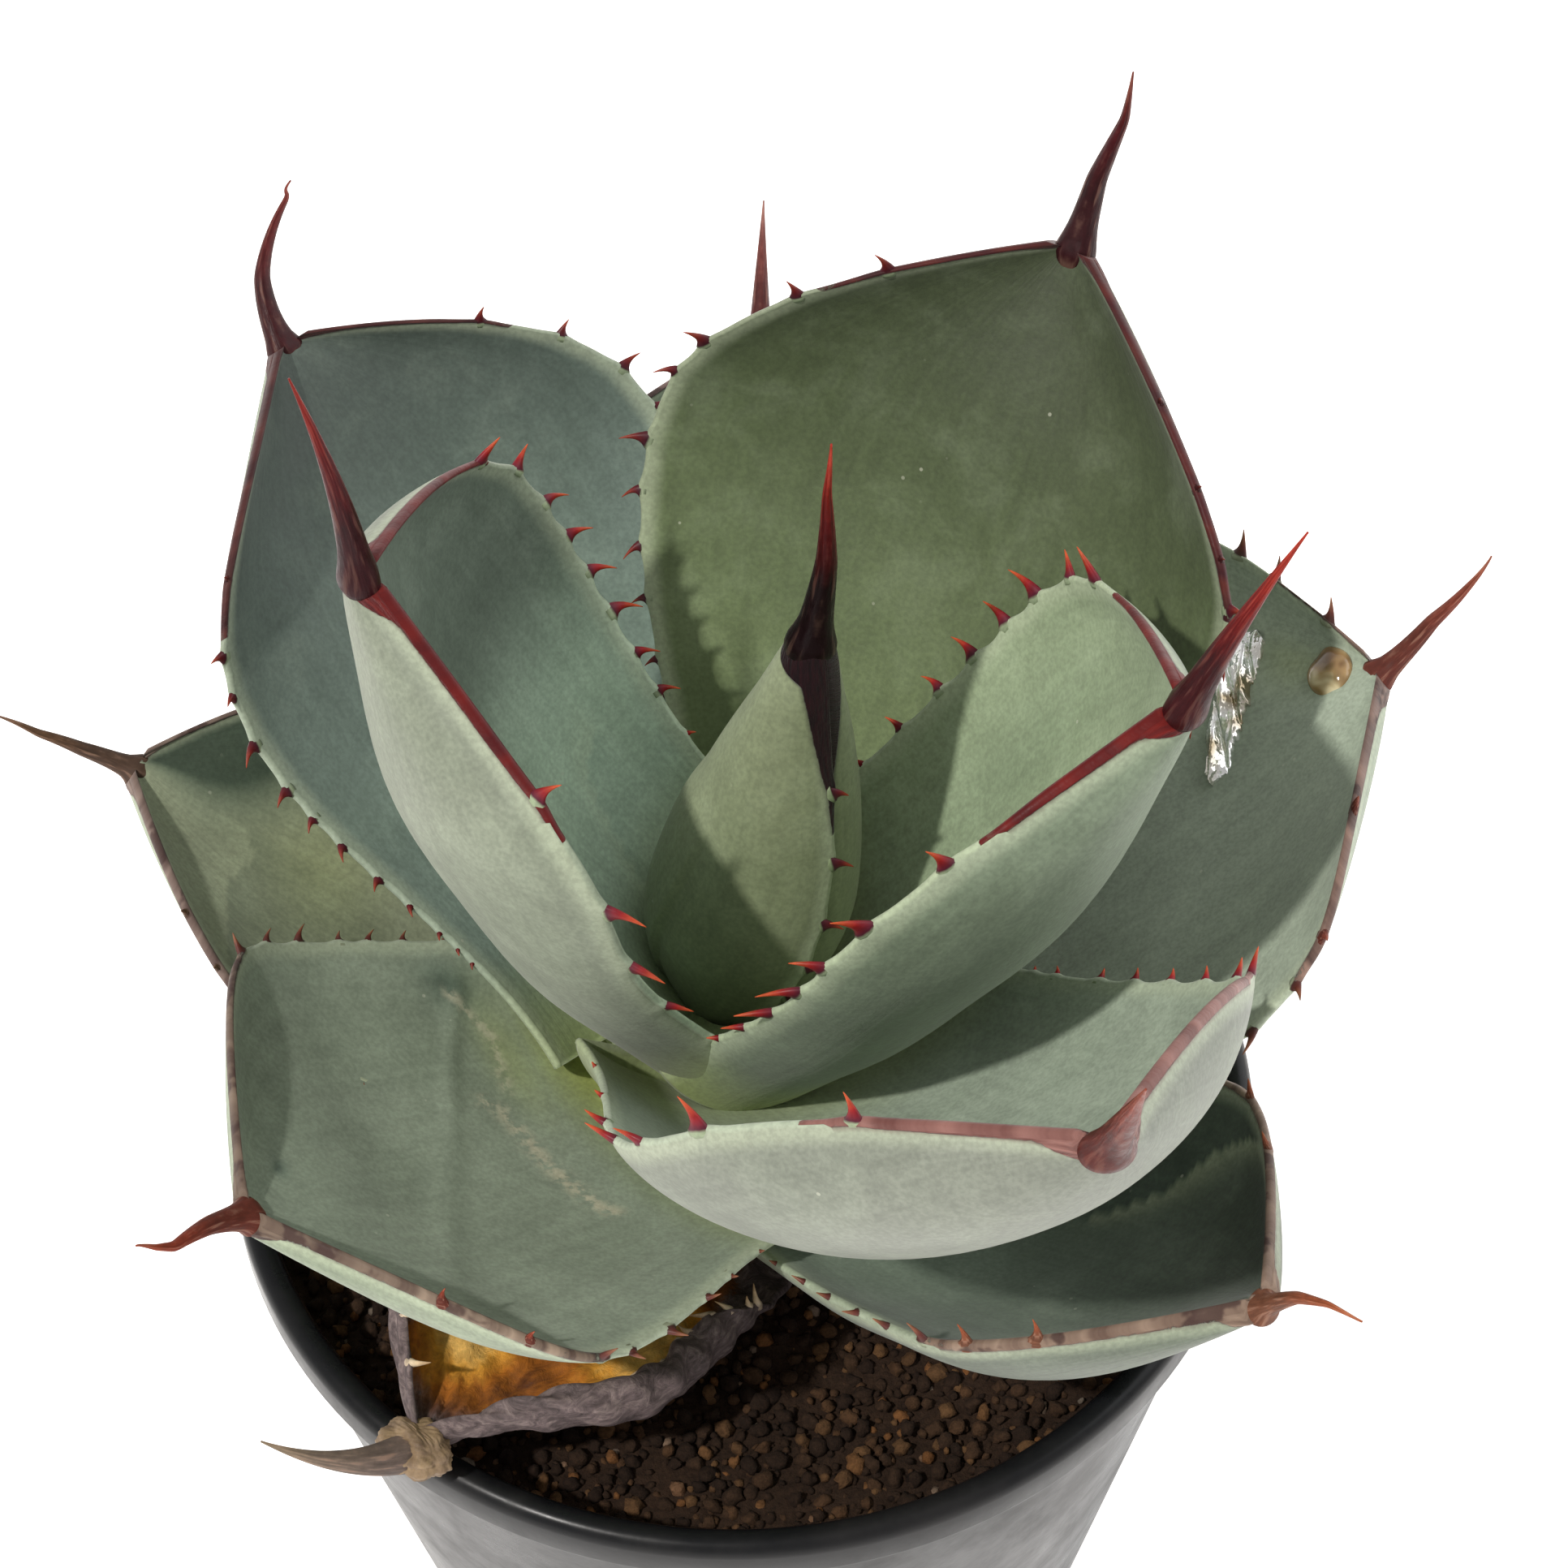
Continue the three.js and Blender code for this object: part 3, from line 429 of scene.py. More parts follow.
def leaf_material(name, leaf):
    """Waxy grey-green skin with a bloom, a pale halo along the edge and a horny border."""
    s = Shader(name, Specular_IOR_Level=0.38, Sheen_Weight=0.1, Sheen_Roughness=0.5)
    edge, rim, u, dark = s.value("edge"), s.value("rim"), s.value("u"), s.value("dark")
    broad, cloud = s.noise(24, 3, 0.5, 0.6), s.noise(95, 5, 0.62, 0.4)
    grain, fine = s.noise(1500, 2, 0.5), s.noise(520, 4, 0.6)
    streak = s.drawn_out("across", "u", 26, 2.2)
    # painted light and shade: the face is scaled from a factor at the foot to one at the tip
    foot, tip, *span = leaf.tone
    face = s.node("RGB")
    face.default_value = (*linear(leaf.face), 1)
    colour = s.mix(s.value("outer"), s.times(face, s.step(u, *span, (foot, tip))), leaf.back)
    # bloom, film and streaks of the wax, and the yellowish foot
    colour = s.tinted(s.step(broad, 0.35, 0.7, (0.0, 0.28)), colour, "#bccab6")
    colour = s.scaled(s.scaled(colour, cloud, 0.9, 1.08), streak, 0.94, 1.05)
    colour = s.mix(s.product(s.step(cloud, 0.45, 0.75), 0.08), colour, "#aab4a2")
    colour = s.mix(s.step(u, 0.2, 0.0, (0.0, 0.7)), colour, "#9aa763")
    # the leaf's marks; the dark and pale masks also carry painted shade, painted shadow and painted sunlit patches
    # on some leaves
    colour = s.mix(s.value("yellow"), colour, s.scaled("#9da64e", cloud, 0.85, 1.15))
    colour = s.tinted(s.math("POWER", dark, 3.0), s.tinted(dark, colour, "#b4c2c4"), "#a9b0ae")
    colour = s.mix(s.value("pale"), colour, s.scaled("#b3bd9c", cloud, 0.92, 1.06))
    colour = s.mix(s.product(s.value("scar"), s.step(fine, 0.4, 0.56)), colour, "#b9b49c")
    # the halo along the edge, mottling and pale specks
    colour = s.mix(s.product(s.step(s.jitter(edge, cloud, 2.0), 3.2, 0.3), 0.42), colour, "#bcc6aa")
    colour = s.scaled(s.scaled(colour, grain, 0.9, 1.1), fine, 0.95, 1.05)
    speck = s.step(s.node("TexVoronoi", {"Vector": s.place, "Scale": 230}), 0.075, 0.05)
    colour = s.mix(s.product(speck, s.step(s.noise(60, 2), 0.54, 0.66, (0.0, 0.4))), colour, "#cdcebb")
    # the horny border, woody and scabby on older leaves
    woody = RANKS[leaf.rank]["woody"]
    (dull, bright), strand = leaf.rim, s.drawn_out("edge", "u", 2.4, 34)
    bark = s.ramp(strand, (0.32, dull), (0.66, bright))
    bark = s.mix(s.step(broad, 0.4, 0.6, (0.0, 0.45 * woody)), bark, dull)
    bark = s.mix(s.step(s.noise(150, 3, 0.6), 0.52, 0.6, (0.0, 0.8 * woody)), bark, "#3a2725")
    ragged = s.jitter(rim, s.noise(500, 5, 0.7, 1.2), 0.4 + 0.8 * woody)
    horny, fringe = s.step(ragged, 0.1, -0.08), s.step(ragged, 0.75, 0.0, (0.0, 0.5))
    colour = s.mix(s.product(fringe, s.step(rim, 3.0, 2.4)), colour, dull)
    colour = s.mix(horny, colour, bark)
    rough = s.math("ADD", s.step(cloud, 0.3, 0.75, (0.54, 0.68)), s.product(horny, -0.16 * (1 - woody)))
    skin = s.relief(grain, 0.00005, 0.5, s.relief(fine, 0.00012, 0.4, s.relief(cloud, 0.0006, 0.28)))
    skin = s.relief(streak, 0.0003, 0.25, skin)
    normal = s.relief(s.product(horny, s.math("MULTIPLY_ADD", strand, 1.6, 0.5)), 0.0003, 0.8, skin)
    s.put(s.math("MULTIPLY_ADD", horny, -0.22, 0.38), s.surface.inputs["Specular IOR Level"])
    return s.use(colour, rough, normal)


def withered_material():
    """Dry papery skin: amber and orange in two broad patches, dark brown elsewhere, dark and grey-violet on the
    rolled edges.
    """
    s = Shader("dead_leaf_skin", Specular_IOR_Level=0.35)
    cloud, fibre, fine = s.noise(70, 5, 0.65, 0.8), s.noise(260, 5, 0.7, 1.5, (1, 1, 3)), s.noise(900, 3)
    colour = s.ramp(s.jitter(s.value("amber"), cloud, 1.1), (0.12, "#2b1d17"), (0.34, "#5d3417"), (0.55, "#a5621c"),
                    (0.78, "#cf9233"), (1.0, "#dcb060"))
    grey = s.ramp(fibre, (0.3, "#352c2b"), (0.5, "#5d5050"), (0.72, "#857672"))
    rolled = s.step(s.jitter(s.value("side"), fibre, 0.3), 0.62, 0.74)
    for share in (rolled, s.value("outer"), s.step(s.jitter(s.value("u"), cloud, 0.3), 0.86, 0.97)):
        colour = s.mix(share, colour, grey)
    normal = s.relief(fine, 0.0001, 0.5, s.relief(fibre, 0.0006, 0.7))
    return s.use(s.scaled(colour, fine, 0.82, 1.18), s.step(cloud, 0.3, 0.7, (0.6, 0.85)), normal)


def knot_material():
    """The dried swelling under the withered spine, dark in its hollow, where t is 1."""
    s = Shader("dead_leaf_knot", Specular_IOR_Level=0.4)
    colour = s.ramp(s.noise(300, 5, 0.7), (0.3, "#5d4a3a"), (0.7, "#9a8262"))
    colour = s.mix(s.step(s.value("t"), 0.25, 0.8), colour, "#1d1510")
    return s.use(colour, 0.6, s.relief(s.noise(600, 5, 0.7), 0.0003, 0.6))


def sap_material():
    """Dried sap: a silvery film where t is 0, an amber blister where t is 1."""
    s = Shader("dried_sap", Roughness=0.14, Coat_Weight=0.5, Coat_Roughness=0.06)
    crinkle, fine, t = s.noise(180, 2, 0.5, 0.5), s.noise(700, 2), s.value("t")
    silver = s.ramp(crinkle, (0.34, "#a8987c"), (0.48, "#ebe7de"), (0.6, "#ffffff"))
    amber = s.ramp(crinkle, (0.34, "#6e5235"), (0.5, "#a3865c"), (0.64, "#d6c7a2"))
    s.put(s.math("MULTIPLY_ADD", t, -0.85, 0.85), s.surface.inputs["Metallic"])
    return s.use(s.mix(t, silver, amber), None, s.relief(fine, 0.00008, 0.4, s.relief(crinkle, 0.0006, 0.5)))


# ---- leaves ----


def midrib(leaf, u):
    """Origin, along, normal and across of the midrib at shares u of its length."""
    azimuth, foot, height = leaf.place
    (rise0, rise1), (roll0, roll1) = leaf.rise, leaf.roll
    length, steps = leaf.size[0], BLADE.steps

    def direction(at):
        up = radians(rise0 + (rise1 - rise0) * at ** BLADE.rise_ease)
        turn = radians(azimuth + leaf.sway * at ** BLADE.sway_ease)
        along = stack([cos(up) * cos(turn), cos(up) * sin(turn), sin(up)], -1)
        flat = stack([-sin(up) * cos(turn), -sin(up) * sin(turn), cos(up)], -1)
        return along, flat

    marks = linspace(0, 1, steps + 1)
    moves = direction((marks[1:] + marks[:-1]) / 2)[0] * length / steps
    start = math.radians(azimuth)
    line = np.vstack([np.zeros((1, 3)), np.cumsum(moves, 0)])
    line += (foot * math.cos(start), foot * math.sin(start), height)
    at = clip(u, 0, 1)
    along, flat = direction(at)
    across = cross(along, flat)
    roll = radians(roll0 + (roll1 - roll0) * at)[:, None]
    origin = stack([interp(at, marks, line[:, k]) for k in range(3)], -1)
    origin = origin + along * (np.minimum(u, 0) * length)[:, None]
    return origin, along, flat * cos(roll) - across * sin(roll), across * cos(roll) + flat * sin(roll)


def tip_frame(leaf):
    """Origin, along, normal and across where the spine starts."""
    return [v[0] for v in midrib(leaf, array([1.0]))]


def half_width(leaf, u):
    (foot, widest), half = leaf.outline, leaf.size[1] / 2
    swell = sin(pi / 2 * clip(u / widest, 0, 1)) ** BLADE.foot_ease
    low = foot + (1 - foot) * swell
    close = clip((u - widest) / (1 - widest), 0, 1) ** BLADE.tip_ease
    high = 1 - (1 - BLADE.tip_width) * close
    return half * np.where(u < 0, foot * BLADE.root_width, np.where(u < widest, low, high))


def half_angle(leaf, u):
    a, b, c = leaf.cup
    middle = BLADE.middle
    low = a + (b - a) * smooth(u / middle)
    return radians(np.where(u < middle, low, b + (c - b) * smooth((u - middle) / (1 - middle))))


def tooth_places(leaf, seed):
    """Shares of the length where teeth stand on each side, denser towards the foot."""
    sides = []
    for k, (count, first, last, ease) in enumerate(leaf.teeth):
        random = np.random.default_rng(seed + k)
        places = first + (last - first) * linspace(0, 1, count) ** ease
        places[1:-1] += random.uniform(-0.22, 0.22, count - 2) * (last - first) / count
        sides.append(places)
    return sides


def tooth_lengths(leaf, places):
    return leaf.bite * (0.3 + 0.7 * smooth((places - 0.08) / 0.45))


def blade_points(leaf, u, s):
    """Inner points, outer points, outward directions and face normals on the grid of u and s."""
    origin, along, normal, across = (v[:, None] for v in midrib(leaf, u))
    half, spread = half_width(leaf, u)[:, None] * np.ones_like(s), half_angle(leaf, u)[:, None]
    for side, u0, du, share in leaf.nips:
        half = half * (1 - share * bump(u - u0, du)[:, None] * (s * side > 0))
    start = np.where(s < 0, *leaf.curl_from)
    turned = np.where(s < 0, *leaf.curl) * np.sign(s) * clip((abs(s) - start) / (1 - start), 0, 1)
    angle = spread * s + radians(turned * smooth(u * 2)[:, None])
    middle = len(s) // 2

    def run(f):
        pieces = (f[:, 1:] + f[:, :-1]) / 2 * np.diff(s)
        total = concatenate([np.zeros((len(u), 1)), np.cumsum(pieces, 1)], 1)
        return (total - total[:, middle:middle + 1]) * half

    x, y = run(cos(angle)), run(sin(angle))
    face = -sin(angle)[..., None] * across + cos(angle)[..., None] * normal
    outward = cos(angle)[..., None] * across + sin(angle)[..., None] * normal
    inner = origin + x[..., None] * across + y[..., None] * normal
    # the margin swells at each tooth, less so along the horny border
    rimmed = np.zeros((len(u), 2))
    for k, places in enumerate(leaf.places):
        near, sizes = (u[:, None] - places) * leaf.size[0], tooth_lengths(leaf, places)
        rimmed[:, k] = (bump(near, 0.5 * sizes) * 0.16 * sizes).sum(1) - 0.25 * smooth(u * 6)
        rimmed[:, k] *= 1 - 0.7 * smooth((u - leaf.border[k][0]) / 0.06)
    extra = np.where(s < 0, rimmed[:, :1], rimmed[:, 1:]) * abs(s) ** 22
    inner = inner + (extra * np.where(s < 0, -1, 1))[..., None] * outward
    inner = inner + swells(leaf, u[:, None], s)[..., None] * face
    at = clip(u, 0, 1)[:, None]
    taper = (1 - BLADE.thinning * at) * (1 - BLADE.tip_thinning * at ** BLADE.tip_thinning_ease)
    full = (1 - abs(s) ** BLADE.edge_ease).clip(0) ** BLADE.edge_fullness
    depth = leaf.size[2] * taper * full + BLADE.edge
    return inner, inner - depth[..., None] * face, outward * np.where(s < 0, -1, 1)[:, None], face


def swells(leaf, u, s):
    """Gentle swells of the blade, the same on both faces."""
    seed, wrinkle = leaf.place[0], leaf.wrinkle
    height = 0.45 * sin(9 * u + seed) * cos(4.2 * s + seed) + 0.3 * sin(17 * u * (1 + 0.2 * s) + 2 * seed)
    height = height * smooth(u * 3) * (1 - abs(s) ** 3)
    if wrinkle:
        height = 0.5 * wrinkle * u.clip(0) * sin(11 * u + 4 * s) * cos(5 * s - 3 * u)
        height = height + 0.35 * sin(46 * s + 9 * sin(7 * u)) * smooth(u * 2) + 0.25 * sin(61 * u + 11 * s)
    for us, ss, width, crest in leaf.creases:
        ends = smooth((u - us[0]) / 0.05) * smooth((us[-1] - u) / 0.05)
        height = height + crest * bump(s - interp(u, us, ss), width) * ends
    return height


def margin_line(leaf, at, s, j):
    """Middle of the margin in column j, its outward directions and its face normals."""
    inner, outer, outward, face = blade_points(leaf, at, s)
    return (inner[:, j] + outer[:, j]) / 2, outward[:, j], face[:, j]


def add_tooth(piece, base, outward, along, length, hook, width, slot):
    """A rose thorn: a wide foot along the edge, a flat oval section and a tip bent to the leaf's foot."""
    t = array([-0.5, -0.2, 0, 0.1, 0.22, 0.36, 0.5, 0.65, 0.8, 0.92, 1.0])
    rise = np.where(t < 0, t * 1.4, t * length)
    bend = hook * length * t.clip(0) ** 1.8 + 0.3 * width * (1 - t.clip(0)) ** 3
    centres = base + outward * rise[:, None] - along * bend[:, None]
    tangent = unit(np.gradient(centres, axis=0))
    side_a = unit(along - tangent * (tangent @ along)[:, None])
    shrink = 1 - t.clip(0)
    wide = width * (0.62 * shrink ** 3.2 + 0.38 * shrink ** 0.9) + 0.05
    thick = 0.62 * shrink ** 0.9 * (0.6 + 0.1 * length) + 0.05
    wide[0] *= 0.8
    piece.tube(centres, side_a, cross(tangent, side_a), wide, thick, 10, slot, t)


def spine_line(origin, along, normal, across, spine):
    """The spine's curve through the part's five stations, with a lead into the leaf."""
    length, pitch, yaw = spine
    stations = [origin - normal * SPINE.below]
    for k in range(1, SPINE.steps + 1):
        share = k / SPINE.steps
        up, aside = (math.tan(math.radians(bend * share)) for bend in (pitch, yaw))
        stations.append(stations[-1] + unit(along + normal * up + across * aside) * length / SPINE.steps)
    marks = linspace(0, 1, SPINE.steps + 1)
    fits = [np.polyfit(marks, array(stations)[:, k], SPINE.steps) for k in range(3)]
    t = linspace(0, 1, SPINE.samples) ** 0.85
    centres = stack([np.polyval(f, t) for f in fits], -1)
    back = array([-0.3, -0.22, -0.16, -0.12, -0.08, -0.05, -0.02])
    lead = centres[0] + along * (back * length)[:, None] - normal * (SPINE.sink * smooth(-back / 0.2))[:, None]
    return concatenate([back, t]), np.vstack([lead, centres])


def add_spine(piece, leaf, origin, along, normal, across):
    """A terminal spine with a grooved inner side, bent by the leaf's bends."""
    t, centres = spine_line(origin, along, normal, across, leaf.spine)
    at, aside, up = array(leaf.bends, float).T
    fine = linspace(0, 1, 201)
    for offsets, way in ((aside, across), (up, normal)):
        soft = np.convolve(np.pad(interp(fine, at, offsets), 12, mode="edge"), np.hanning(27)[1:-1] / 13, "valid")
        soft = soft - soft[0] * (1 - fine) ** 4
        centres = centres + interp(t, fine, soft)[:, None] * way
    tangent = unit(np.gradient(centres, axis=0))
    side_a = unit(across - tangent * (tangent @ across)[:, None])
    shrink = 1 - t.clip(0)
    thick, tip = 1 + (leaf.thick - 1) * smooth(t / 0.12 + 0.4), SPINE.tip_radius
    radius = tip + (SPINE.radius * thick - tip) * shrink ** SPINE.taper
    lead = 1 - 0.85 * smooth((-t - leaf.spine_foot) / 0.2)
    flare = 1 + leaf.flare * bump(t + leaf.spine_foot, 0.1)
    depth = 1 + (flare - 1) * leaf.spine_round
    inner = bump(np.angle(np.exp(1j * (turns(SPINE.sides) - pi / 2))), 0.5)
    groove = 1 - leaf.groove * inner * shrink[:, None] ** 2
    piece.tube(centres, side_a, cross(side_a, tangent), radius * flare * lead, radius * depth * lead,
               SPINE.sides, HORN, t, groove)


def border_width(border, u, outer):
    """Width of the horny border in millimetres on one side, 0 where there is none."""
    start, width = border
    grow = smooth((u - start + 0.05) / 0.16) * (0.6 + 0.4 * smooth((u - start) / (1 - start)))
    if outer:
        return width * (grow * 0.4) + 5.0 * smooth((u - 0.98) / 0.02) ** 1.4
    return width * grow + 1.3 * smooth((u - 0.965) / 0.035) ** 2


def rim_distance(depth, wide, least):
    """Distance from the horny border's inner edge, negative on it, and far off where there is no border."""
    return depth - wide + np.where(wide > least, 0, 5)


def painted(leaf, u, s):
    """Masks of a leaf's marks, from 0 to 1, on the inner face; some are painted shade, shadow and sunlit patches."""
    marks = {key: np.zeros_like(u) for key in ("pale", "dark", "yellow", "scar")}

    def lay(key, mask):
        marks[key] = np.maximum(marks[key], mask)

    for key, u0, s0, du, ds, amount in leaf.marks:
        lay(key, (amount * bump(u - u0, du) * bump(s - s0, ds)).clip(max=1))
    for key, ss, us, width, amount in leaf.lines:
        ends = smooth((s - ss[0]) / 0.03) * smooth((ss[-1] - s) / 0.03)
        lay(key, amount * bump(u - interp(s, ss, us), width) * ends)
    for ss, us, depth, amount in leaf.imprints:
        # bluish below the line and a pale halo above it: a neighbour's printed edge on some leaves, painted shade
        # below and painted sunlit lobes above on leaf_front_right
        ends = smooth((s - ss[0] + 0.02) / 0.04) * smooth((ss[-1] + 0.02 - s) / 0.04) * amount
        over = u - interp(s, ss, us) - 0.006 * abs(sin(s * 40))
        lay("dark", ends * smooth(0.5 - over / 0.008) * np.exp(over.clip(None, 0) / depth))
        lay("pale", 0.7 * ends * smooth(0.5 + over / 0.008) * bump(over, 0.05))
    return marks


def leaf_piece():
    """A piece with the values that leaf_material and the horn read."""
    return Piece("edge", "rim", "u", "across", "outer", "t", "pale", "dark", "yellow", "scar")


def build_leaf(node):
    leaf = Values(**{**USUAL, **LEAVES[node]})
    seed = abs(leaf.place[0]) + SEEDS.leaf
    leaf.places = tooth_places(leaf, seed)
    rank, piece = RANKS[leaf.rank], leaf_piece()
    u = concatenate([[-BLADE.root / leaf.size[0], -0.03, -0.002], linspace(0, 1, leaf.rows)])
    s = sin(pi / 2 * linspace(-1, 1, leaf.columns))
    inner, outer, outward, face = blade_points(leaf, u, s)
    margin = (1 - abs(s)) * half_width(leaf, u)[:, None]
    wides = (np.where(s < 0, *(border_width(b, u, back)[:, None] for b in leaf.border)) for back in (False, True))
    rims = [rim_distance(margin, wide, BLADE.border_least) for wide in wides]
    raised = (BLADE.border_height * smooth(-rims[0] / BLADE.border_slope))[..., None] * face
    inner, outer = inner + raised, outer - raised

    def cap(j):
        """Points that round the margin in column j."""
        centre, arm = (inner[:, j] + outer[:, j]) / 2, (inner[:, j] - outer[:, j]) / 2
        out = outward[:, j] * np.linalg.norm(arm, axis=-1, keepdims=True)
        return stack([centre + arm * math.cos(x) + out * math.sin(x) for x in radians(BLADE.cap_angles)], 1)

    def both(front, behind):
        return wrapped(front, behind, len(BLADE.cap_angles))

    rows, columns = np.broadcast_arrays(u[:, None], s)
    none = np.zeros_like(margin)
    marks = {key: both(mark, none) for key, mark in painted(leaf, rows, columns).items()}
    piece.shell(concatenate([inner, cap(-1), outer[:, ::-1], cap(0)[:, ::-1]], 1), SKIN, edge=both(margin, margin),
                rim=both(*rims), u=rows[:, :1], across=both(columns, columns), outer=both(none, none + 1), **marks)
    random = np.random.default_rng(seed)
    for k, side in enumerate((-1, 1)):
        at, j = leaf.places[k], -k  # the first column or the last
        base, out, normal = margin_line(leaf, at, s, j)
        along = unit(margin_line(leaf, at + 0.004, s, j)[0] - margin_line(leaf, at - 0.004, s, j)[0])
        out = unit(out - along * (out * along).sum(1, keepdims=True))
        for i, size in enumerate(tooth_lengths(leaf, at) * random.uniform(0.8, 1.2, len(at))):
            dull = at[i] > leaf.border[k][0] + BLADE.dull_from
            size = size * (rank["dull"] if dull else 1)
            for where, first, last, share in leaf.short:
                size = size * (share if where == side and first < at[i] < last else 1)
            hook = random.uniform(0.25, 0.75) * (1 if at[i] < 0.7 else 0.4)
            lift = sum(amount for where, first, amount in leaf.lift if where == side and at[i] > first)
            way = unit(out[i] + (0.25 * random.uniform(-1, 1) + lift) * normal[i])
            add_tooth(piece, base[i], way, along[i], size, hook, 0.24 * size + 0.5, HORN if dull else TOOTH)
    add_spine(piece, leaf, *tip_frame(leaf))
    materials = [leaf_material(node + "_skin", leaf), horn_material(node + "_horn", leaf.horn, leaf.rank),
                 tooth_material(node + "_teeth", rank["teeth"])]
    if leaf.sap:
        add_sap(piece, leaf)
        add_blister(piece, leaf)
        materials.append(sap_material())
    piece.finish(node, materials, leaf.slot)


def symmetric(line):
    """The stations with their mirror images, so that the middle one is the midrib."""
    return np.unique(np.round(concatenate([line, -line, [0.0]]), 9))


def add_sap(piece, leaf):
    """A film of dried sap that lies crinkled on the blade, along a line from (u, s) to (u, s)."""
    (u0, s0), (u1, s1), width = leaf.sap
    along, over = linspace(0, 1, FILM.rows), linspace(-1, 1, FILM.columns)
    random, bends = np.random.default_rng(SEEDS.sap), FILM.ragged
    ragged = interp(along, linspace(0, 1, bends), random.uniform(-1, 1, bends))
    edge = width * sin(pi * along.clip(0.02, 0.98)) ** 0.4 * (1 + 0.2 * ragged)
    rows = []
    for x, reach in zip(along, edge):
        u, s = u0 + (u1 - u0) * x, s0 + (s1 - s0) * x
        line = symmetric(concatenate([[-1.0], linspace(-0.99, s - reach - 0.01, 12), s + over * reach,
                                      linspace(s + reach + 0.01, 0.99, 12), [1.0]]))
        inner, _, _, face = blade_points(leaf, array([u]), line)
        keep = np.searchsorted(line, s + over * reach)
        folds = abs(sin(3.6 * pi * x + 1.1 * over)) ** 0.6 * (0.75 + 0.25 * sin(4 * over + 9 * x))
        lift = (1 - over ** 2) ** 0.5 * (0.2 + 1.9 * folds)
        rows.append(inner[0, keep] + face[0, keep] * lift[:, None].clip(0.05))
    top = stack(rows)
    below = top - face[0, keep][None] * FILM.thick  # the last row's normals serve for all
    piece.shell(concatenate([top, below[:, ::-1]], 1), EXTRA)


def add_blister(piece, leaf):
    """A flat drop of dried sap on the blade."""
    u0, s0 = leaf.blister
    line = symmetric(array([-1.0, *linspace(-0.95, 0.95, 39), s0, 1.0]))
    inner, _, _, face = blade_points(leaf, array([u0 - 0.01, u0, u0 + 0.01]), line)
    j = int(np.argmin(abs(line - s0)))
    normal, along = face[1, j], unit(inner[2, j] - inner[0, j])
    way = globe(BLISTER)
    lumps = 1 + 0.07 * sin(3 * way[..., 0] + 2) + 0.04 * sin(5 * way[..., 1] + 3 * way[..., 0])
    axes = stack([cross(normal, along), along, normal])
    piece.shell(inner[1, j] + (way * lumps[..., None] * BLISTER.radii) @ axes, EXTRA, t=1.0)


def build_withered():
    leaf = WITHERED
    leaf.places = tooth_places(leaf, SEEDS.dead_places)
    piece = Piece("u", "side", "outer", "amber", "t", "across")
    u = concatenate([[-BLADE.root / leaf.size[0]], linspace(0, 1, leaf.rows)])
    s = sin(pi / 2 * linspace(-1, 1, leaf.columns))
    inner, outer, outward, _ = blade_points(leaf, u, s)
    ends = [((inner[:, j] + outer[:, j]) / 2 + outward[:, j] * 0.5)[:, None] for j in (-1, 0)]
    rows, columns = np.broadcast_arrays(u[:, None], s)
    none = np.zeros(rows.shape)
    amber = 0.95 * bump(rows - 0.62, 0.2) * bump(columns - 0.28, 0.3)
    amber = amber + 0.75 * bump(rows - 0.42, 0.22) * bump(columns + 0.5, 0.35) + 0.3
    piece.shell(concatenate([inner, ends[0], outer[:, ::-1], ends[1]], 1), SKIN, u=rows[:, :1],
                side=wrapped(abs(columns), abs(columns), 1), outer=wrapped(none, none + 1, 1),
                amber=wrapped(amber, amber, 1))
    random = np.random.default_rng(SEEDS.dead_teeth)
    for k, at in enumerate(leaf.places):
        base, out, normal = margin_line(leaf, at, s, -k)
        for i, along in enumerate(midrib(leaf, at)[1]):
            way = unit(out[i] + random.uniform(-0.5, 0.5) * normal[i])
            add_tooth(piece, base[i], way, along, random.uniform(2.2, 4.2), random.uniform(-0.4, 0.5), 0.7, TOOTH)
    origin, along, normal, across = tip_frame(leaf)
    add_spine(piece, leaf, origin, along, normal, across)
    # the dried swelling at the foot of the spine, with a dark hollow
    way = globe(KNOT)
    x, y, z = (way[..., k] for k in range(3))
    hollow = bump(np.linalg.norm(way - unit(array([0.1, 0.72, 0.66])), axis=-1), 0.34)
    lumps = 1 + 0.06 * sin(5 * x + 7 * y) + 0.05 * sin(11 * z + 4 * x)
    lumps = lumps - 0.45 * hollow + 0.05 * sin(17 * x + 9 * sin(6 * y)) * sin(19 * y)
    swelling = (way * lumps[..., None] * KNOT.radii) @ stack([across, along, normal])
    piece.shell(origin + along * 1.5 - normal * 1.2 + swelling, EXTRA, t=hollow)
    teeth = tooth_material("dead_leaf_teeth", ("#b3a08a", "#c9b79c", "#c0a988", "#a58662"))
    horn = horn_material("dead_leaf_horn", leaf.horn, "old")
    piece.finish("dead_leaf", [withered_material(), horn, teeth, knot_material()], "dead_leaf")


# ---- bud cone ----


def bud_radius(u):
    foot, top, end, widest = BUD.foot_radius, BUD.radius, BUD.end_radius, BUD.widest
    low = foot + (top - foot) * sin(pi / 2 * clip(u / widest, 0, 1))
    high = end + (top - end) * (1 - clip((u - widest) / (1 - widest), 0, 1) ** BUD.taper)
    return np.where(u < widest, low, high) + BUD.shoulder * smooth((u - 0.82) / 0.18)


def seam_angle(u):
    return radians(BUD.seam_foot + BUD.seam_swing * sin(pi / 2 * clip(u / BUD.seam_turn, 0, 1)))


def bud_centre(u):
    return stack([BUD.lean[0] * u, BUD.lean[1] * u, BUD.foot + BUD.length * u], -1)


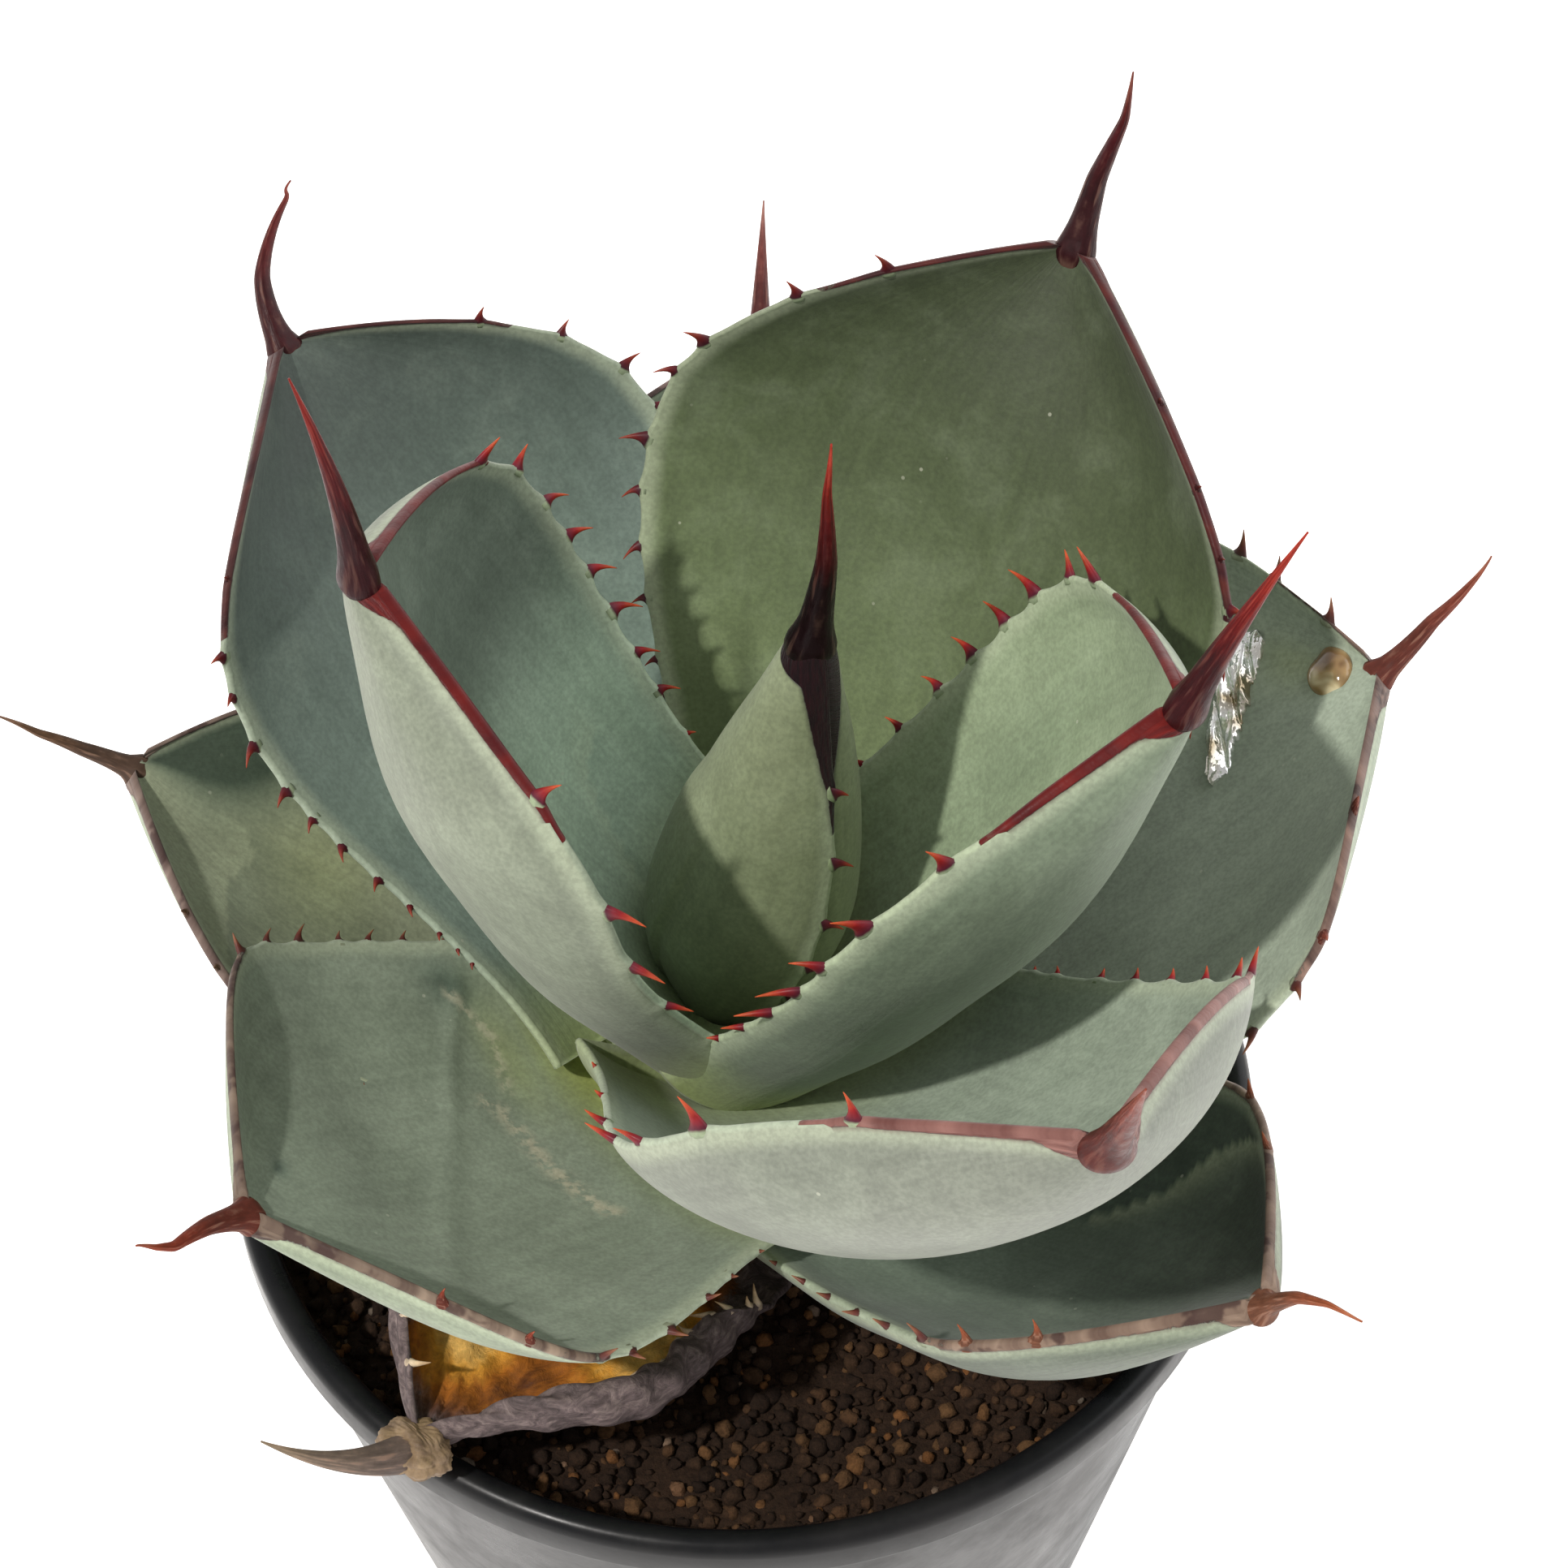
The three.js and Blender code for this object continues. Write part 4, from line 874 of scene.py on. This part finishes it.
def build_bud():
    piece, teeth = leaf_piece(), array(BUD.teeth)
    u, share = linspace(0, 1, BUD.rows)[:, None], linspace(0, 1, BUD.columns)[None, :]
    lap = BUD.overlap * np.minimum(1, (1 - u) / BUD.overlap_fade)
    radius = bud_radius(u) + lap * (share - 0.5)
    radius = radius + 0.25 * sin(7 * u + 3 * share * 2 * pi) * smooth(u * 4) * smooth((1 - u) * 4)
    lobe = BUD.lobe_edge - 0.05 * sin(3 * u) - share
    radius = radius + BUD.lobe * smooth(lobe / 0.008) * smooth((share - 0.35) / 0.2) * smooth((0.62 - u) / 0.12)
    cushions = (bump((u - teeth) * BUD.length, 1.8) * 0.5).sum(1, keepdims=True)
    angle = seam_angle(u) + 2 * pi * share + cushions * share ** 30 / bud_radius(u)
    centre = bud_centre(u[:, 0])[:, None]
    points = centre + stack([radius * cos(angle), radius * sin(angle), 0 * radius], -1)
    # a rounded end of the outer leaf where it laps over the inner one
    end, start = points[:, -1], points[:, 0]
    way = stack([-sin(angle[:, -1]), cos(angle[:, -1]), 0 * angle[:, -1]], -1)
    arc = [end * (1 - x) + start * x + way * (lap * 0.5 * math.sin(math.pi * x)) for x in (0.2, 0.5, 0.8)]
    girth = 2 * pi * bud_radius(u)
    wedge = 10.6 * (u - 0.6).clip(0) + 9 * smooth((u - 0.93) / 0.07)
    pale = 0.35 * bump(share - 0.62, 0.16) * smooth((u - 0.3) * 3)
    around = {"edge": (1 - share) * girth, "across": share * 2, "pale": pale,
              "rim": rim_distance(np.minimum(share, 1 - share) * girth, wedge, 0.02)}
    values = {}
    for key, value in around.items():
        value = np.broadcast_to(value, (len(u), share.size))
        values[key] = concatenate([value, np.repeat(value[:, -1:], len(arc), 1)], 1)
    piece.shell(concatenate([points, stack(arc, 1)], 1), SKIN, u=0.25 + 0.75 * u, **values)
    axis = unit(array([*BUD.lean, BUD.length], float))
    random = np.random.default_rng(SEEDS.bud)
    for k, at in enumerate(teeth):
        a = float(seam_angle(at))
        face, out = (array([math.cos(x), math.sin(x), 0.0]) for x in (a, a + 0.95))
        base = bud_centre(at) + (float(bud_radius(at)) + BUD.overlap * 0.3) * face
        size = 2.4 + 1.2 * math.sin(math.pi * k / (len(teeth) - 1))
        add_tooth(piece, base, out, axis, size * random.uniform(0.9, 1.1), 0.35, 1.5, TOOTH)
    across = unit(cross(array([0.0, 1.0, 0.0]), axis))
    normal = -cross(axis, across)
    add_spine(piece, BUD, bud_centre(1.0) + normal * SPINE.below, axis, normal, across)
    materials = [leaf_material("bud_skin", BUD), horn_material("bud_horn", BUD.horn, BUD.rank),
                 tooth_material("bud_teeth", ("#7d8a6a", "#3a1622", "#54141a", "#8d3a22"))]
    piece.finish("bud_cone", materials, "bud")


# ---- stem, soil and pot ----


def build_stem():
    z = linspace(STEM.bottom, STEM.top, STEM.rows)
    share = clip((z - SOIL.top) / (STEM.top - SOIL.top), 0, 1)
    radius = STEM.foot_radius + (STEM.top_radius - STEM.foot_radius) * share
    rings = lathe(list(zip(radius, z)), STEM.sides)
    angle = np.arctan2(rings[..., 1], rings[..., 0])
    scars = 0.25 * abs(sin(rings[..., 2] * 0.55 + 2 * sin(3 * angle)))
    rings[..., :2] *= (1 - (scars + 0.1 * sin(17 * angle)) / radius[:, None])[..., None]
    piece = Piece("t")
    piece.shell(rings, t=share[:, None])
    s = Shader("stem_bark", Specular_IOR_Level=0.3)
    fibre = s.noise(300, 5, 0.7, 1.0)
    colour = s.mix(s.step(s.value("t"), 0.1, 0.8), s.ramp(fibre, (0.3, "#4d3c2e"), (0.7, "#8a745a")), "#8e9a6c")
    piece.finish("stem", [s.use(colour, 0.75, s.relief(fibre, 0.0005, 0.7))], "stem")


def ball(subdivisions):
    """Points and triangles of a ball of radius 1."""
    shape = bmesh.new()
    bmesh.ops.create_icosphere(shape, subdivisions=subdivisions, radius=1)
    shape.verts.index_update()
    points = array([v.co[:] for v in shape.verts])
    faces = array([[v.index for v in f.verts] for f in shape.faces])
    shape.free()
    return points, faces


def scattered(random, count, inner, outer, gap):
    """Places on a ring-shaped bed that stand at least a gap apart."""
    kept, cells = [], {}
    for _ in range(count * 12):
        r, a = math.sqrt(random.uniform(inner ** 2, outer ** 2)), random.uniform(0, 2 * math.pi)
        place = (r * math.cos(a), r * math.sin(a))
        x, y = (int(v // gap) for v in place)
        near = [q for i in (-1, 0, 1) for j in (-1, 0, 1) for q in cells.get((x + i, y + j), ())]
        if all(math.dist(q, place) > gap for q in near):
            kept.append(place)
            cells.setdefault((x, y), []).append(place)
        if len(kept) == count:
            break
    return kept


def wall(z):
    """Outer radius of the pot at a height."""
    return POT.base_radius + POT.wall_slope * z


def build_soil():
    random = np.random.default_rng(SEEDS.soil)
    inside, bottom = (wall(z) - POT.wall - 0.3 for z in (SOIL.top, SOIL.bottom))
    bed = [(r, SOIL.top - 0.6) for r in linspace(SOIL.hole, inside, SOIL.rows)]
    rings = lathe([(SOIL.hole, STEM.bottom - 0.6), *bed, (bottom, SOIL.bottom)], SOIL.sides)
    top = rings[1:-1]
    lumps = sum(sin(top @ random.normal(0, k, 3) + random.uniform(0, 6)) for k in (0.15, 0.3, 0.8, 1.5, 2.2, 3.0))
    top[1:-1, :, 2] += 0.16 * lumps[1:-1].clip(-3, 3)
    piece = Piece("tint")
    piece.shell(rings, tint=0.15)
    for count, small, large, lowest, highest, gap, subdivisions in GRAINS:
        points, faces = ball(subdivisions)
        clouds, tints, triangles = [], [], []
        for i, place in enumerate(scattered(random, count, SOIL.hole + 1.2 + large, inside - large, gap)):
            turn = np.linalg.qr(random.normal(size=(3, 3)))[0]
            rough = 1 + 0.2 * sin(points @ random.normal(0, 2.8, 3) + random.uniform(0, 6))
            rough = rough + 0.1 * random.normal(size=len(points)).clip(-1.5, 1.5)
            shape = (points * rough[:, None] * random.uniform(0.72, 1.15, 3)) @ turn
            middle = (*place, SOIL.top - 0.3 + random.uniform(lowest, highest))
            clouds.append(shape * random.uniform(small, large) + middle)
            tints.append(np.full(len(points), random.uniform(0.0, 1.0) ** 1.8))
            triangles.append(faces + i * len(points))
        piece.add(np.vstack(clouds), np.vstack(triangles).tolist(), SKIN, {"tint": concatenate(tints)})
    s = Shader("soil_grains", Specular_IOR_Level=0.2)
    grit, cloud = s.noise(1100, 4, 0.7), s.noise(60, 3)
    colour = s.ramp(s.value("tint"), (0.0, "#221710"), (0.35, "#34251a"), (0.6, "#463120"), (0.8, "#5a4129"),
                    (0.94, "#6a4526"), (1.0, "#6b6055"))
    colour = s.scaled(s.scaled(colour, grit, 0.7, 1.3), cloud, 0.85, 1.15)
    piece.finish("soil", [s.use(colour, 0.92, s.relief(grit, 0.0005, 0.9))], "soil")


def pot_profile():
    """The pot's section, from the middle of its foot up the outside, over the lip and down to its floor."""
    base, lip, inner, thick = POT.base_radius, POT.lip_radius, POT.lip_inner, POT.wall
    bead = (lip - inner) / 2
    foot, ring, recess, floor = base - POT.foot_width, POT.lip_bottom, POT.recess, POT.floor
    return [(0.6, recess), (foot - 0.6, recess), (foot, recess - 0.6), (foot, 0.5), (foot + 0.5, 0),
            (base - 0.8, 0), (base - 0.2, 0.25), (wall(0.9), 0.9),
            *[(wall(z), z) for z in linspace(4, ring - 0.9, 24)],
            (wall(ring) + 0.05, ring - 0.3), (wall(ring) + 0.35, ring), (lip - 0.5, ring), (lip - 0.12, ring + 0.15),
            (lip, ring + 0.6),
            *[(inner + bead * (1 + math.cos(a)), POT.height - bead * (1 - math.sin(a)))
              for a in linspace(0, pi, 17)],
            *[(wall(z) - thick, z) for z in (ring - 2, *linspace(110, floor + 2, 12))],
            (wall(floor) - thick - 0.6, floor), (0.6, floor)]


def build_pot():
    piece = Piece()
    piece.shell(lathe(pot_profile(), POT.sides))
    s = Shader("pot_plastic", Specular_IOR_Level=0.2)
    dust, streak = s.noise(45, 5, 0.7), s.noise(38, 4, 0.6, 0.5, (1, 1, 0.12))
    colour = s.mix(s.step(dust, 0.4, 0.8, (0.0, 0.25)), "#0f1012", "#3a3735")
    colour = s.mix(s.step(streak, 0.5, 0.8, (0.0, 0.25)), colour, "#2c2928")
    rough = s.math("ADD", s.step(dust, 0.3, 0.75, (0.24, 0.42)), s.step(streak, 0.45, 0.8, (0.0, 0.12)))
    pot = piece.made("pot_fine", [s.use(colour, rough, s.relief(s.noise(700, 3), 0.00004, 0.4))])
    drill = Piece()
    for a in (2 * math.pi * (i + 0.5) / POT.drain_holes for i in range(POT.drain_holes)):
        middle = POT.drain_ring * array([math.cos(a), math.sin(a), 0])
        centres = middle + array([[0, 0, -2.0], [0, 0, POT.floor + 3.0]])
        radius = np.full(2, POT.drain_radius)
        drill.tube(centres, array([[1.0, 0, 0]] * 2), array([[0, 1.0, 0]] * 2), radius, radius, 40, SKIN)
    tool = drill.made("drill")
    cut = pot.modifiers.new("drain_holes", "BOOLEAN")
    cut.object, cut.solver = tool, "EXACT"
    drilled = bpy.data.meshes.new_from_object(pot.evaluated_get(bpy.context.evaluated_depsgraph_get()))
    pot.modifiers.clear()
    pot.data = drilled
    bpy.data.objects.remove(tool)
    drilled.set_sharp_from_angle(angle=math.radians(45))
    stand_in(pot, "pot")


# ---- stage, light and camera ----

SUN = Values(azimuth=220, height=54, away=1.5)
PANEL = Values(azimuth=20, slope=0.75, away=1.3)
CAMERA = Values(down=51, roll=-1.51, distance=600.0, focal=5022.7, frame_px=1932, at=(0, 0, 122),
                at_px=(914.1, 1362.4))


def add_light(name, kind, towards, away, **settings):
    """A light that shines on the middle of the scene from a direction."""
    lamp = bpy.data.lights.new(name, kind)
    for key, value in settings.items():
        setattr(lamp, key, value)
    thing = bpy.data.objects.new(name, lamp)
    thing.rotation_mode = "QUATERNION"
    thing.rotation_quaternion = towards.to_track_quat("Z", "Y")
    thing.location = towards * away
    bpy.context.scene.collection.objects.link(thing)


def build_stage():
    bpy.ops.mesh.primitive_circle_add(vertices=96, radius=4, fill_type="NGON", location=(0, 0, -0.0004))
    floor = bpy.context.object
    floor.name = "floor"
    s = Shader("floor_paper", Roughness=0.85, Specular_IOR_Level=0.2, Emission_Color=(1.0, 0.985, 0.975, 1),
               Emission_Strength=0.6)
    floor.data.materials.append(s.use(s.ramp(s.noise(6, 2), (0.3, "#f3f1ef"), (0.7, "#f8f7f6"))))

    world = bpy.data.worlds.new("studio")
    bpy.context.scene.world = world
    world.use_nodes = True
    tree = world.node_tree
    ground = tree.nodes["Background"]
    ground.inputs["Color"].default_value = (1.0, 0.985, 0.97, 1)
    where, split, fade = (tree.nodes.new("ShaderNode" + kind) for kind in ("TexCoord", "SeparateXYZ", "MapRange"))
    for key, value in (("From Min", 0.0), ("From Max", 0.8), ("To Min", 0.95), ("To Max", 0.42)):
        fade.inputs[key].default_value = value
    tree.links.new(where.outputs["Generated"], split.inputs[0])
    tree.links.new(split.outputs["Z"], fade.inputs["Value"])
    tree.links.new(fade.outputs[0], ground.inputs["Strength"])

    azimuth, height = math.radians(SUN.azimuth), math.radians(SUN.height)
    level = math.cos(height)
    add_light("key", "SUN", Vector((math.cos(azimuth) * level, math.sin(azimuth) * level, math.sin(height))),
              SUN.away, energy=2.55, angle=math.radians(2.5), color=(1.0, 0.965, 0.92))
    # a wide soft panel on the right lifts the shade inside the rosette
    azimuth = math.radians(PANEL.azimuth)
    add_light("panel", "AREA", Vector((math.cos(azimuth), math.sin(azimuth), PANEL.slope)).normalized(),
              PANEL.away, energy=8.0, size=1.3, color=(0.97, 0.99, 1.0))


def build_camera():
    """Camera of the photograph: 51 degrees down, 600 mm from the middle of the lip, a slight roll."""
    down, roll = math.radians(CAMERA.down), math.radians(CAMERA.roll)
    distance, focal, frame_px = CAMERA.distance, CAMERA.focal, CAMERA.frame_px
    forward, level = Vector((0, math.cos(down), -math.sin(down))), Vector((1, 0, 0))
    upright = level.cross(forward)
    right = level * math.cos(roll) + upright * math.sin(roll)
    up = upright * math.cos(roll) - level * math.sin(roll)
    aside, above = ((at - frame_px / 2) / focal * distance for at in CAMERA.at_px)
    place = Vector(CAMERA.at) - (forward * distance + right * aside - up * above)
    camera = bpy.data.objects.new("camera", bpy.data.cameras.new("camera"))
    matrix = Matrix((right, up, -forward)).transposed().to_4x4()
    matrix.translation = place * MM
    camera.matrix_world = matrix
    camera.data.lens = camera.data.sensor_width * focal / frame_px
    camera.data.clip_start, camera.data.clip_end = 0.01, 50
    bpy.context.scene.collection.objects.link(camera)
    bpy.context.scene.camera = camera


for leaf_name in LEAVES:
    build_leaf(leaf_name)
for build in (build_withered, build_bud, build_stem, build_soil, build_pot, build_stage, build_camera):
    build()
bpy.context.scene.view_settings.view_transform = "Standard"
